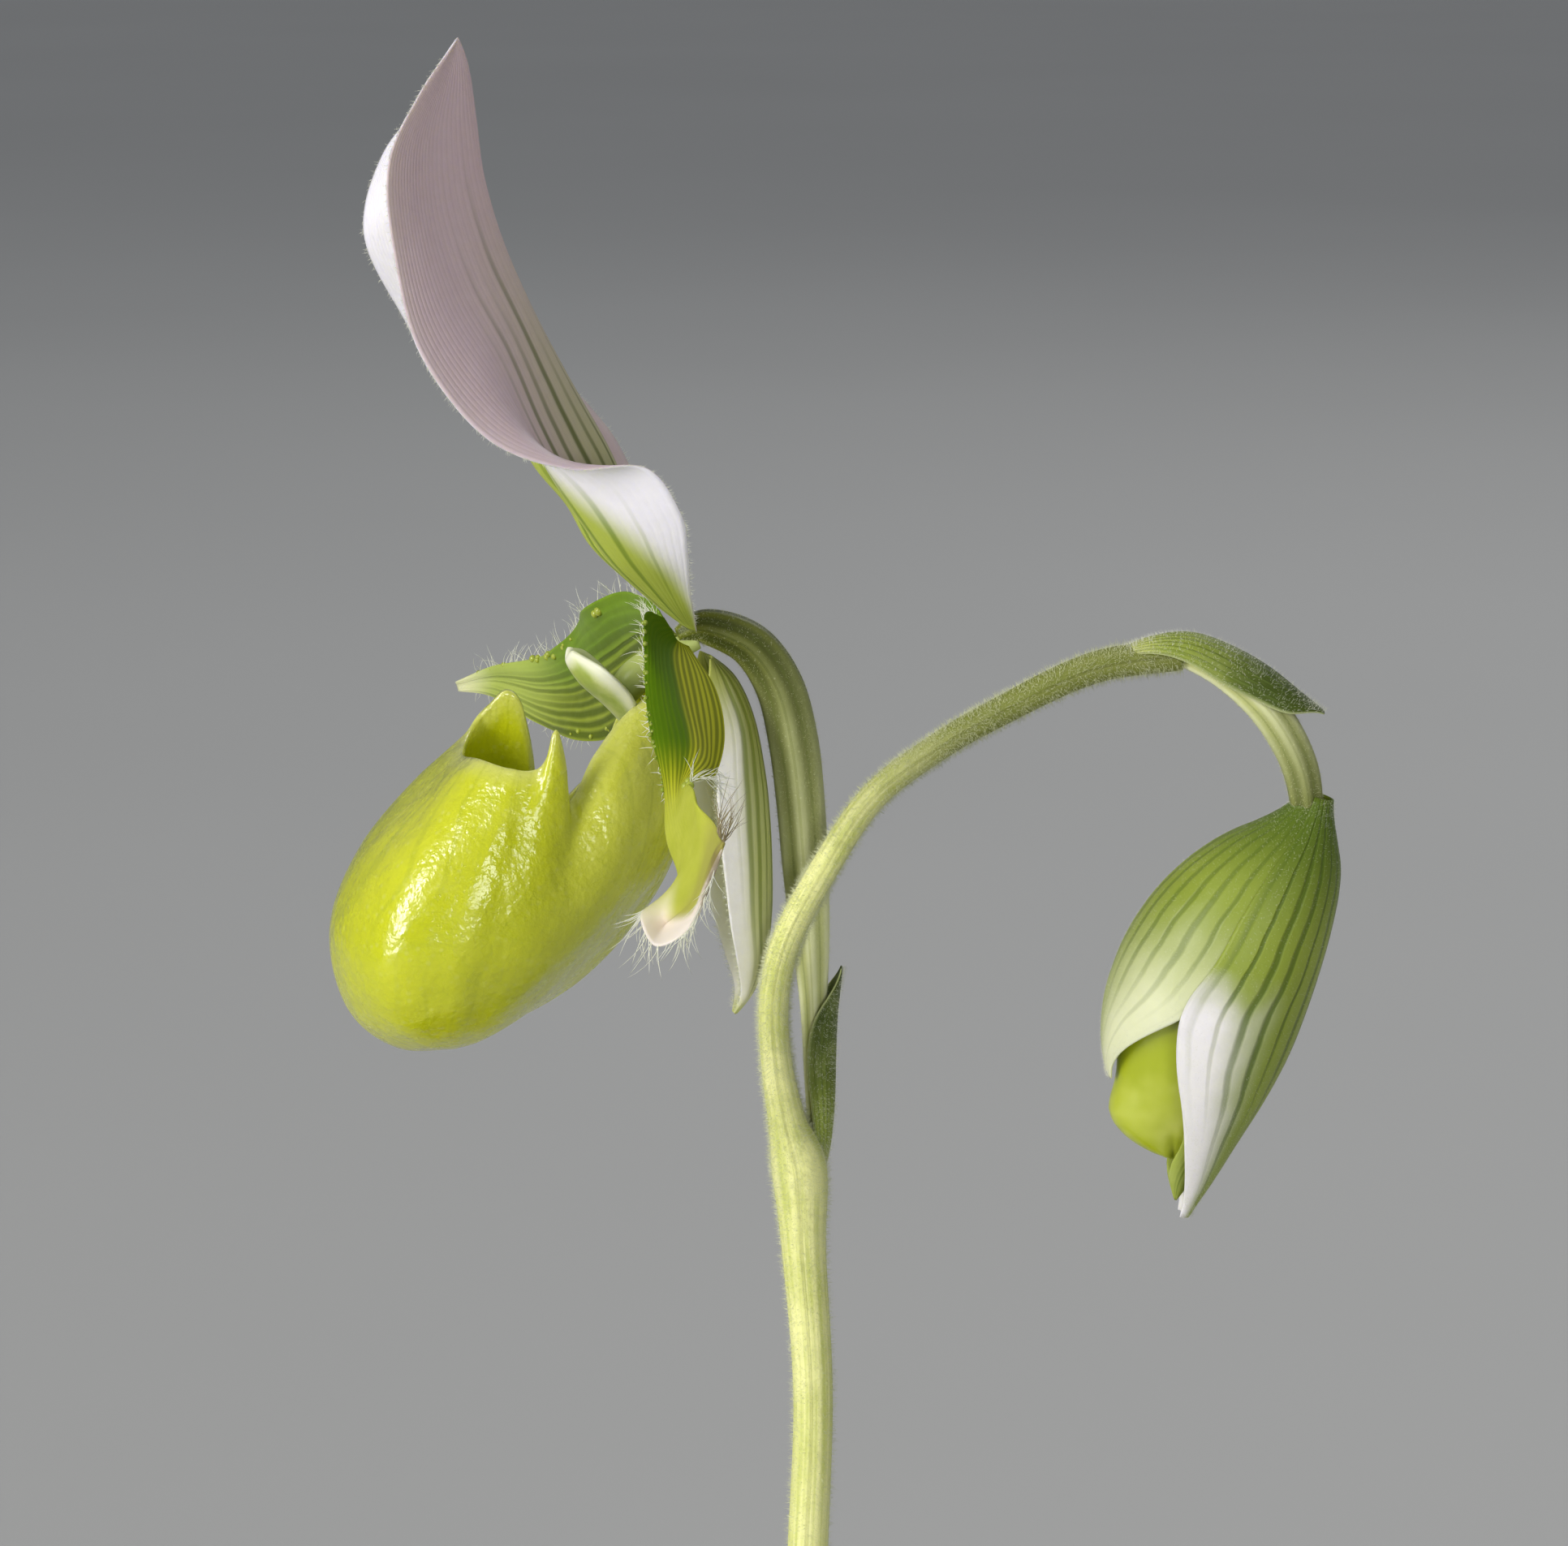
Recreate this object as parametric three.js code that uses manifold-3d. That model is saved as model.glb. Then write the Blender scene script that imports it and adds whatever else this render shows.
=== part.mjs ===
// A maudiae slipper orchid in a plain clay pot: a fan of leaves, one hairy scape,
// an open flower and a nodding bud. Millimetres, +Z up, origin under the pot's centre.
// The flower faces -X, so its left petal is on the -Y side.
import * as THREE from 'three';
import { mergeVertices } from 'three/addons/utils/BufferGeometryUtils.js';
import Module from 'manifold-3d';

const wasm = await Module();
wasm.setup();

// Pot and medium
const POT_HEIGHT = 95;
const POT_TOP_RADIUS = 55;
const POT_FOOT_RADIUS = 38;
const POT_WALL = 4;
const POT_FLOOR = 6;
const COLLAR_HEIGHT = 20;
const COLLAR_STEP = 2.5;
const DRAIN_RADIUS = 4;
const DRAIN_CIRCLE = 20;
const DRAIN_COUNT = 4;
const MEDIUM_TOP = 82;
const FIT_GAP = 0.3;
const CHIP_COUNT = 36;

// Leaf fan, from the lowest leaf up: rank azimuth, length, half width, launch and end tilt
// from the vertical, radius of the clasping base and height where the leaf begins
const LEAF_THICKNESS = 0.9;
const LEAVES = [
  { azimuth: 12, length: 132, halfWidth: 19, launch: 24, arch: 96, clasp: 7.4, start: 83.0 },
  { azimuth: 200, length: 138, halfWidth: 20, launch: 22, arch: 92, clasp: 7.4, start: 83.0 },
  { azimuth: 28, length: 120, halfWidth: 18, launch: 17, arch: 80, clasp: 5.6, start: 86.6 },
  { azimuth: 184, length: 124, halfWidth: 18, launch: 15, arch: 76, clasp: 5.6, start: 86.6 },
  { azimuth: 4, length: 86, halfWidth: 14, launch: 10, arch: 60, clasp: 3.8, start: 90.6 },
  { azimuth: 208, length: 96, halfWidth: 15, launch: 9, arch: 56, clasp: 3.8, start: 90.6 },
];
const CROWN_FOOT = 70;
const CROWN_TOP = 90.9;
const CROWN_RADIUS = 6.5;

// Flower: where its petals meet on the ovary, and the direction that it faces
const FLOWER_ORIGIN = [-9.5, -2.7, 323];
const FLOWER_TURN = 193;
const SEPAL_THICKNESS = 0.7;
const PETAL_THICKNESS = 0.7;
const LIP_THICKNESS = 0.8;

// Bud: from the top of its ovary to its tip
const BUD_TOP = [41.8, -5, 308.2];
const BUD_TIP = [31.7, -5, 274.1];
const BUD_FLATNESS = 0.88;

const COLOURS = {
  clay: 0xa9623f,
  bark: 0x6b4a30,
  crown: 0x8a9a55,
  leaf: 0x4f7a3c,
  stem: 0xa9bf62,
  bract: 0x5c8436,
  ovary: 0xb4c46c,
  sepal: 0xe9e6e2,
  petal: 0x8fae3c,
  lip: 0xb9c92a,
  column: 0xd7dc9a,
};

// Catmull-Rom value at t in 0..1 through evenly spaced stations, each a list of numbers
function along(stations, t) {
  const last = stations.length - 1;
  const x = Math.min(Math.max(t, 0), 1) * last;
  const k = Math.min(Math.floor(x), last - 1);
  const f = x - k;
  const b = stations[k];
  const c = stations[k + 1];
  const before = k > 0 ? stations[k - 1] : b.map((n, i) => 2 * n - c[i]);
  const after = k + 2 <= last ? stations[k + 2] : c.map((n, i) => 2 * n - b[i]);
  return b.map((n, i) => 0.5 * (2 * n + (c[i] - before[i]) * f
    + (2 * before[i] - 5 * n + 4 * c[i] - after[i]) * f * f
    + (3 * n - before[i] - 3 * c[i] + after[i]) * f * f * f));
}

// The same for plain numbers
function level(numbers, t) {
  return along(numbers.map((n) => [n]), t)[0];
}

// Straight-line value at t through [t, value] pairs
function graph(pairs, t) {
  const k = pairs.findIndex(([at]) => at >= t);
  if (k <= 0) return pairs[k === 0 ? 0 : pairs.length - 1][1];
  const [t0, v0] = pairs[k - 1];
  const [t1, v1] = pairs[k];
  return v0 + (v1 - v0) * (t - t0) / (t1 - t0);
}

// Surface through rows of points: u runs along a row, v from the first row to the last
function net(rows) {
  return (u, v) => new THREE.Vector3(...along(rows.map((row) => along(row, u)), v));
}

// Rows that are given from one edge to the midrib, completed by reflection in y = 0
function mirrored(rows) {
  return rows.map((row) => {
    const other = row.slice(0, -1).reverse().map(([x, y, z]) => [x, -y, z]);
    return [...row, ...other];
  });
}

function normalAt(surface, u, v) {
  const step = 0.01;
  const across = surface(Math.min(u + step, 1), v).sub(surface(Math.max(u - step, 0), v));
  const down = surface(u, Math.min(v + step, 1)).sub(surface(u, Math.max(v - step, 0)));
  return across.cross(down).normalize();
}

// A waved margin: the surface moves to and fro along its normal near u = 0 and u = 1
function waved(surface, amplitude, count, phase) {
  return (u, v) => {
    const edge = Math.abs(2 * u - 1) ** 3;
    const fade = Math.sin(Math.PI * Math.min(1, v * 1.1));
    const lift = amplitude * edge * fade * Math.sin(2 * Math.PI * count * v + phase + 2 * u);
    return surface(u, v).add(normalAt(surface, u, v).multiplyScalar(lift));
  };
}

// Closed geometry from points and triangles, turned so that its faces point out
function closedShape(points, triangles) {
  let volume = 0;
  const cross = new THREE.Vector3();
  for (const [a, b, c] of triangles) {
    volume += points[a].dot(cross.crossVectors(points[b], points[c]));
  }
  const index = triangles.flatMap(([a, b, c]) => (volume > 0 ? [a, b, c] : [a, c, b]));
  const geometry = new THREE.BufferGeometry();
  const flat = points.flatMap((p) => [p.x, p.y, p.z]);
  geometry.setAttribute('position', new THREE.Float32BufferAttribute(flat, 3));
  geometry.setIndex(index);
  return geometry;
}

// Thin blade of even thickness round a surface, cut alike on both faces
function blade(surface, across, down, thickness) {
  const points = [];
  for (const side of [0.5, -0.5]) {
    for (let j = 0; j <= down; j += 1) {
      for (let i = 0; i <= across; i += 1) {
        const u = i / across;
        const v = j / down;
        const lift = normalAt(surface, u, v).multiplyScalar(side * thickness);
        points.push(surface(u, v).add(lift));
      }
    }
  }
  const width = across + 1;
  const layer = width * (down + 1);
  const triangles = [];
  for (let j = 0; j < down; j += 1) {
    for (let i = 0; i < across; i += 1) {
      const a = j * width + i;
      const quad = [a, a + 1, a + width + 1, a + width];
      triangles.push([quad[0], quad[1], quad[2]], [quad[0], quad[2], quad[3]]);
      const [p, q, r, s] = quad.map((n) => n + layer);
      triangles.push([p, r, q], [p, s, r]);
    }
  }
  const border = [];
  for (let i = 0; i < across; i += 1) border.push(i);
  for (let j = 0; j < down; j += 1) border.push(j * width + across);
  for (let i = across; i > 0; i -= 1) border.push(down * width + i);
  for (let j = down; j > 0; j -= 1) border.push(j * width);
  border.forEach((a, n) => {
    const b = border[(n + 1) % border.length];
    triangles.push([a, a + layer, b], [b, a + layer, b + layer]);
  });
  return closedShape(points, triangles);
}

// Cup of even thickness: u runs round the rim, v from the rim to one closing point
function cup(surface, around, down, thickness) {
  const points = [];
  for (const side of [0.5, -0.5]) {
    for (let j = 0; j < down; j += 1) {
      for (let i = 0; i < around; i += 1) {
        const u = i / around;
        const v = j / down;
        const east = surface((u + 0.01) % 1, v);
        const west = surface((u + 0.99) % 1, v);
        const deeper = surface(u, v + 0.01);
        const higher = surface(u, Math.max(v - 0.01, 0));
        const normal = east.sub(west).cross(deeper.sub(higher)).normalize();
        points.push(surface(u, v).add(normal.multiplyScalar(side * thickness)));
      }
    }
    const pole = surface(0, 1);
    const east = surface(0.25, 0.95).sub(surface(0.75, 0.95));
    const north = surface(0, 0.95).sub(surface(0.5, 0.95));
    const normal = north.cross(east).normalize();
    points.push(pole.add(normal.multiplyScalar(side * thickness)));
  }
  const layer = around * down + 1;
  const triangles = [];
  for (let j = 0; j < down; j += 1) {
    for (let i = 0; i < around; i += 1) {
      const a = j * around + i;
      const b = j * around + (i + 1) % around;
      const last = j === down - 1;
      const c = last ? around * down : b + around;
      const d = last ? around * down : a + around;
      triangles.push([a, b, c], [a + layer, c + layer, b + layer]);
      if (!last) triangles.push([a, c, d], [a + layer, d + layer, c + layer]);
      if (j === 0) triangles.push([a, a + layer, b], [b, a + layer, b + layer]);
    }
  }
  return closedShape(points, triangles);
}

// A line of growth. At s in 0..1 it gives the place, the direction, the side that faces -Y
// and the side at right angles to both
function spine(points) {
  const place = (s) => new THREE.Vector3(...along(points, s));
  return (s) => {
    const here = place(s);
    const ahead = place(Math.min(s + 0.01, 1)).sub(place(Math.max(s - 0.01, 0))).normalize();
    const front = new THREE.Vector3(0, -1, 0);
    front.addScaledVector(ahead, -front.dot(ahead)).normalize();
    const out = new THREE.Vector3().crossVectors(ahead, front);
    return { here, ahead, front, out };
  };
}

// Point at an angle round a spine, from the front side towards the out side
function roundSpine(line, s, angle, radius) {
  const { here, front, out } = line(s);
  here.addScaledVector(front, radius * Math.cos(angle));
  return here.addScaledVector(out, radius * Math.sin(angle));
}

// Solid stem round a spine, with closed ends
function stem(line, sides, steps, radiusAt) {
  const points = [];
  const triangles = [];
  for (let j = 0; j <= steps; j += 1) {
    for (let i = 0; i < sides; i += 1) {
      const angle = 2 * Math.PI * i / sides;
      points.push(roundSpine(line, j / steps, angle, radiusAt(j / steps, angle)));
    }
  }
  for (let j = 0; j < steps; j += 1) {
    for (let i = 0; i < sides; i += 1) {
      const a = j * sides + i;
      const b = j * sides + (i + 1) % sides;
      triangles.push([a, b, b + sides], [a, b + sides, a + sides]);
    }
  }
  points.push(line(0).here, line(1).here);
  const foot = points.length - 2;
  const top = points.length - 1;
  for (let i = 0; i < sides; i += 1) {
    const next = (i + 1) % sides;
    triangles.push([foot, next, i], [top, steps * sides + i, steps * sides + next]);
  }
  return closedShape(points, triangles);
}

// Sheath that wraps part of a spine: middle and half angle in degrees, radius along it
function sheath(line, middle, halfAngles, radii) {
  return (u, v) => {
    const angle = middle + (2 * u - 1) * level(halfAngles, v);
    return roundSpine(line, v, THREE.MathUtils.degToRad(angle), level(radii, v));
  };
}

function solid(geometry) {
  const bare = geometry.clone();
  bare.deleteAttribute('normal');
  bare.deleteAttribute('uv');
  const merged = mergeVertices(bare, 1e-4);
  return new wasm.Manifold(new wasm.Mesh({
    numProp: 3,
    vertProperties: new Float32Array(merged.attributes.position.array),
    triVerts: new Uint32Array(merged.index.array),
  }));
}

function shapeOf(manifold) {
  const { vertProperties, triVerts } = manifold.getMesh();
  const geometry = new THREE.BufferGeometry();
  geometry.setAttribute('position', new THREE.BufferAttribute(vertProperties, 3));
  geometry.setIndex(new THREE.BufferAttribute(triVerts, 1));
  return geometry;
}

function fuse(base, additions) {
  return shapeOf(additions.reduce((whole, piece) => whole.add(solid(piece)), solid(base)));
}

// Seeded draws, so that every build is the same
function drawer(seed) {
  let state = seed;
  return (low, high) => {
    state = (state * 1664525 + 1013904223) % 4294967296;
    return low + (high - low) * state / 4294967296;
  };
}

function piece(name, geometry, colour, roughness) {
  const material = new THREE.MeshStandardMaterial({ color: colour, roughness, metalness: 0 });
  const mesh = new THREE.Mesh(geometry, material);
  mesh.name = name;
  return mesh;
}

// Radius of the pot's outside or inside at a height
function potRadius(z, inset) {
  const foot = POT_FOOT_RADIUS - inset;
  const top = POT_TOP_RADIUS - COLLAR_STEP - inset;
  return foot + (top - foot) * z / POT_HEIGHT;
}

function pot() {
  const collarFoot = POT_HEIGHT - COLLAR_HEIGHT;
  const edge = 1.2;
  const outline = [
    [0, 0],
    [POT_FOOT_RADIUS - edge, 0],
    [POT_FOOT_RADIUS, edge],
    [potRadius(collarFoot, 0), collarFoot],
    [POT_TOP_RADIUS - edge, collarFoot],
    [POT_TOP_RADIUS - edge / 2, collarFoot + edge],
    [POT_TOP_RADIUS, POT_HEIGHT - edge],
    [POT_TOP_RADIUS - edge, POT_HEIGHT],
    [potRadius(POT_HEIGHT, POT_WALL) + edge, POT_HEIGHT],
    [potRadius(POT_HEIGHT - edge, POT_WALL), POT_HEIGHT - edge],
    [potRadius(POT_FLOOR, POT_WALL), POT_FLOOR],
    [0, POT_FLOOR],
  ].map(([r, z]) => new THREE.Vector2(r, z));
  const body = new THREE.LatheGeometry(outline, 32).rotateX(Math.PI / 2);
  let shell = solid(body);
  for (let i = 0; i < DRAIN_COUNT; i += 1) {
    const turn = (i + 0.5) * 2 * Math.PI / DRAIN_COUNT;
    const drain = new THREE.CylinderGeometry(DRAIN_RADIUS, DRAIN_RADIUS, 3 * POT_FLOOR, 12);
    drain.rotateX(Math.PI / 2);
    drain.translate(DRAIN_CIRCLE * Math.cos(turn), DRAIN_CIRCLE * Math.sin(turn), 0);
    shell = shell.subtract(solid(drain));
  }
  return piece('pot', shapeOf(shell), COLOURS.clay, 0.85);
}

// Bark mix: a filling that follows the pot's wall, with chips of bark fused into its top
function medium() {
  const foot = POT_FLOOR + FIT_GAP;
  const inset = POT_WALL + FIT_GAP;
  const outline = [
    [0, foot],
    [potRadius(foot, inset), foot],
    [potRadius(MEDIUM_TOP - 1.5, inset), MEDIUM_TOP - 1.5],
    [potRadius(MEDIUM_TOP, inset) - 4, MEDIUM_TOP],
    [0, MEDIUM_TOP + 1],
  ].map(([r, z]) => new THREE.Vector2(r, z));
  const filling = new THREE.LatheGeometry(outline, 32).rotateX(Math.PI / 2);
  const draw = drawer(7);
  const chips = [];
  for (let i = 0; i < CHIP_COUNT; i += 1) {
    const reach = 15 + 28 * Math.sqrt((i + 0.5) / CHIP_COUNT);
    const turn = i * 2.39996 + draw(-0.2, 0.2);
    const chip = new THREE.BoxGeometry(draw(6, 12), draw(5, 8), draw(3, 5));
    chip.rotateX(draw(-0.5, 0.5));
    chip.rotateY(draw(-0.4, 0.4));
    chip.rotateZ(draw(0, Math.PI));
    const height = MEDIUM_TOP + draw(0.2, 1.6);
    chip.translate(reach * Math.cos(turn) * 0.93, reach * Math.sin(turn) * 0.93, height);
    chips.push(chip);
  }
  const wall = new THREE.CylinderGeometry(
    potRadius(POT_HEIGHT, inset),
    potRadius(foot, inset),
    POT_HEIGHT - foot,
    32,
  );
  wall.rotateX(Math.PI / 2).translate(0, 0, (POT_HEIGHT + foot) / 2);
  const hole = new THREE.CylinderGeometry(CROWN_RADIUS + FIT_GAP, CROWN_RADIUS + FIT_GAP, 40, 16);
  hole.rotateX(Math.PI / 2).translate(0, 0, CROWN_FOOT - FIT_GAP + 20);
  const mix = solid(fuse(filling, chips)).intersect(solid(wall)).subtract(solid(hole));
  return piece('medium', shapeOf(mix), COLOURS.bark, 0.95);
}

// Short shoot that carries the leaves, stepped in as each pair of leaves leaves it
function crown() {
  const outline = [
    [0, CROWN_FOOT],
    [CROWN_RADIUS - 1, CROWN_FOOT],
    [CROWN_RADIUS - 0.2, CROWN_FOOT + 3],
    [CROWN_RADIUS - 0.2, 83],
    [4.7, 86.4],
    [2.9, 90.4],
    [2.6, CROWN_TOP],
    [0, CROWN_TOP],
  ].map(([r, z]) => new THREE.Vector2(r, z));
  const shoot = new THREE.LatheGeometry(outline, 12).rotateX(Math.PI / 2);
  return piece('crown', mergeVertices(shoot), COLOURS.crown, 0.7);
}

// One strap leaf: its base clasps the crown and the blade arches outwards
function leafSurface({ length, halfWidth, launch, arch, clasp, start }) {
  const steps = 60;
  const rib = [[clasp, start]];
  for (let i = 0; i < steps; i += 1) {
    const f = (i + 0.5) / steps;
    const tilt = THREE.MathUtils.degToRad(launch + (arch - launch) * f ** 1.25);
    const [r, z] = rib[i];
    rib.push([r + Math.sin(tilt) * length / steps, z + Math.cos(tilt) * length / steps]);
  }
  const base = 1.25 * clasp;
  return (u, v) => {
    const s = 2 * u - 1;
    const [r, z] = along(rib, v);
    const tilt = THREE.MathUtils.degToRad(launch + (arch - launch) * v ** 1.25);
    const swell = Math.sin(Math.PI * Math.min(1, 0.08 + 0.94 * v) ** 0.85) ** 0.62;
    const open = THREE.MathUtils.smoothstep(v, 0.02, 0.4);
    const half = Math.max(base * (1 - open) + halfWidth * swell * open, 0.8);
    const wrap = THREE.MathUtils.degToRad(72 * (1 - open) + 20 * open);
    const bend = half / wrap;
    const crease = 0.12 * half * open * Math.abs(s);
    const side = bend * Math.sin(s * wrap);
    const ripple = 0.9 * open * (1 - v) * s * s * Math.sin(9 * v * Math.PI + 2 * s);
    const rise = bend * (1 - Math.cos(s * wrap)) + crease + ripple;
    return new THREE.Vector3(
      r - rise * Math.cos(tilt),
      side,
      z + rise * Math.sin(tilt),
    );
  };
}

function leaf(size, number) {
  const surface = leafSurface(size);
  const strap = blade(surface, 4, 14, LEAF_THICKNESS);
  strap.rotateZ(THREE.MathUtils.degToRad(size.azimuth));
  return piece(`leaf_${number}`, strap, COLOURS.leaf, 0.45);
}

// Hairy stem from the crown past the first flower's node and over to the bud
const SCAPE_LINE = spine([
  [0.0, 0.0, CROWN_TOP + FIT_GAP], [0.7, 0.5, 120], [0.6, 0.7, 150], [-0.2, 0.5, 180],
  [-0.4, 0.2, 210], [0.4, 0.0, 240], [0.9, 0.0, 256], [0.1, 0.0, 269.3], [-0.3, 0.0, 276.5],
  [-1.4, -0.8, 281.2], [-2.3, -2.5, 287.2], [-2.4, -4.5, 293.0], [-1.3, -5.9, 298.2],
  [1.5, -6.5, 303.9], [5.6, -6.5, 310.2], [10.7, -6.4, 314.3], [16.0, -6.2, 317.4],
  [23.7, -5.7, 321.0], [31.0, -5.1, 322.1],
]);
const SCAPE_RADII = [
  2.3, 2.25, 2.15, 2.05, 1.9, 1.77, 1.7, 1.9, 2.35, 1.6, 1.3, 1.25, 1.25, 1.2, 1.15, 1.15, 1.2,
  1.3, 1.35,
];

function scape() {
  const shape = stem(SCAPE_LINE, 8, 46, (s) => level(SCAPE_RADII, s));
  return piece('scape', shape, COLOURS.stem, 0.6);
}

// Six low ribs run the length of an ovary
function ribbed(radii) {
  return (s, angle) => level(radii, s) * (1 + 0.06 * Math.cos(6 * angle));
}

const OVARY_1_LINE = spine([
  [1.2, 1.3, 280.3], [1.0, 1.2, 285], [0.9, 0.9, 291], [0.6, 0.4, 297], [0.2, 0.0, 303],
  [-0.2, -0.4, 308.5], [-0.8, -0.8, 313.8], [-2.0, -1.3, 318.7], [-4.4, -1.9, 322.3],
  [-8.1, -2.5, 323.9],
]);
const OVARY_1_RADII = [0.75, 0.85, 1.2, 1.7, 2.0, 2.1, 2.15, 2.05, 1.85, 1.45];

function ovaryOne() {
  const shape = stem(OVARY_1_LINE, 12, 16, ribbed(OVARY_1_RADII));
  return piece('ovary_1', shape, COLOURS.ovary, 0.5);
}

const OVARY_2_LINE = spine([
  [31.9, -5.0, 322.0], [35.2, -5.0, 320.2], [38.5, -5.0, 317.2], [40.9, -5.0, 313.0],
  [41.7, -5.0, 308.8],
]);
const OVARY_2_RADII = [1.25, 1.4, 1.6, 1.55, 1.3];

function ovaryTwo() {
  const shape = stem(OVARY_2_LINE, 12, 9, ribbed(OVARY_2_RADII));
  return piece('ovary_2', shape, COLOURS.ovary, 0.5);
}

// Green sheath on the right of the open flower's ovary
function bractOne() {
  const line = spine([[1.0, 1.2, 279.6], [1.0, 1.2, 284], [1.0, 1.1, 289], [1.0, 0.9, 294]]);
  const wrap = sheath(line, 90, [88, 112, 90, 12], [1.45, 1.55, 1.75, 2.2]);
  return piece('bract_1', blade(wrap, 6, 7, 0.6), COLOURS.bract, 0.6);
}

// Green sheath on the upper side of the bud's ovary, its tip standing free
function bractTwo() {
  const line = spine([
    [30.2, -5.1, 322.1], [33.4, -5.0, 321.3], [36.8, -5.0, 319.1], [39.6, -5.0, 317.0],
    [42.0, -5.0, 315.6],
  ]);
  const wrap = sheath(line, -90, [80, 105, 100, 75, 25], [2.0, 2.15, 2.35, 2.3, 1.9]);
  return piece('bract_2', blade(wrap, 6, 8, 0.6), COLOURS.bract, 0.6);
}

// Flower parts, in the flower's own frame: +X forward, +Y towards its left, +Z up.
// A row of the upper sepal runs from the left edge over the midrib to the right edge
const DORSAL_ROWS = [
  [[-0.2, 2.2, 0.9], [0.2, 1.2, 1], [0.4, 0, 1.2], [0.2, -1.2, 1], [-0.2, -2.2, 0.9]],
  [[1.1, 6, 5.2], [4, 3.5, 4.3], [1.9, 0, 3.6], [4, -3.5, 4.3], [1.1, -6, 5.2]],
  [[1.9, 9, 8.7], [7.1, 5.5, 7.3], [3.6, 0, 6.9], [7, -5.5, 7.3], [1.9, -9, 8.7]],
  [[2.9, 11, 12.2], [9.6, 6.5, 10.6], [4.9, 0, 11.4], [8.8, -6.5, 10.6], [2.6, -11.2, 12.6]],
  [[6, 12, 16.1], [11.9, 7, 14], [6.8, 0, 16], [11.5, -7, 14], [4.9, -12.3, 16.7]],
  [[12.2, 12, 16.2], [14.6, 7.3, 18.8], [9.9, 0, 21.6], [14.2, -7.3, 19.2], [9, -12.3, 20]],
  [[18.6, 11.5, 18.8], [17.1, 7, 24], [12.9, 0, 27.4], [17, -7, 24], [17.6, -12, 19.4]],
  [[23.6, 10.6, 25.5], [20.1, 6.5, 29.4], [15.3, 0, 33], [20, -6.8, 29.3], [21.6, -11.2, 25.8]],
  [[25.3, 9, 33], [21.9, 5.7, 35.6], [16.8, 0, 38.2], [22, -5.9, 35.6], [25.1, -9, 33]],
  [[25.6, 8.4, 40], [22, 4.8, 41.3], [17.4, 0, 43], [21.1, -5.2, 41.1], [23.4, -9.2, 39.5]],
  [[22.6, 4.9, 45.1], [20.4, 2.6, 45.9], [17.9, 0, 46.8], [19.2, -2.8, 45.8], [19.9, -5, 44.8]],
  [[18.8, 0.35, 49.2], [18.7, 0.17, 49.3], [18.6, 0, 49.4],
    [18.6, -0.17, 49.3], [18.6, -0.35, 49.2]],
];
// The lower sepal's rows stop at the midrib, and the other half mirrors them
const SYNSEPALUM_ROWS = [
  [[-1.4, 2, -1.5], [-1.7, 1.1, -1.6], [-1.9, 0, -1.6]],
  [[-1, 3.4, -4.1], [-3, 2.4, -3.8], [-3.9, 0, -3.7]],
  [[-1.4, 4.5, -7.2], [-4.1, 3.2, -7.1], [-5.3, 0, -7]],
  [[-1.2, 5.3, -11.3], [-4.5, 3.8, -11.5], [-6.2, 0, -11.6]],
  [[-1.4, 5.4, -15.2], [-4.7, 3.9, -15.3], [-6.6, 0, -15.4]],
  [[-1.9, 5, -19], [-4.9, 3.6, -19.3], [-6.8, 0, -19.5]],
  [[-2.6, 4.1, -23.5], [-5.1, 2.9, -23.5], [-6.8, 0, -23.5]],
  [[-3.5, 2.7, -27.4], [-5.4, 1.8, -27.2], [-6.4, 0, -27]],
  [[-4.1, 1.2, -30.2], [-4.9, 0.8, -30.1], [-5.5, 0, -30]],
  [[-3.7, 0.3, -32.2], [-3.8, 0.15, -32.3], [-4, 0, -32.3]],
];

function dorsalSepal() {
  const shape = blade(net(DORSAL_ROWS), 10, 22, SEPAL_THICKNESS);
  return piece('dorsal_sepal', shape, COLOURS.sepal, 0.5);
}

function synsepalum() {
  const shape = blade(net(mirrored(SYNSEPALUM_ROWS)), 6, 14, SEPAL_THICKNESS);
  return piece('synsepalum', shape, COLOURS.sepal, 0.5);
}

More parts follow.
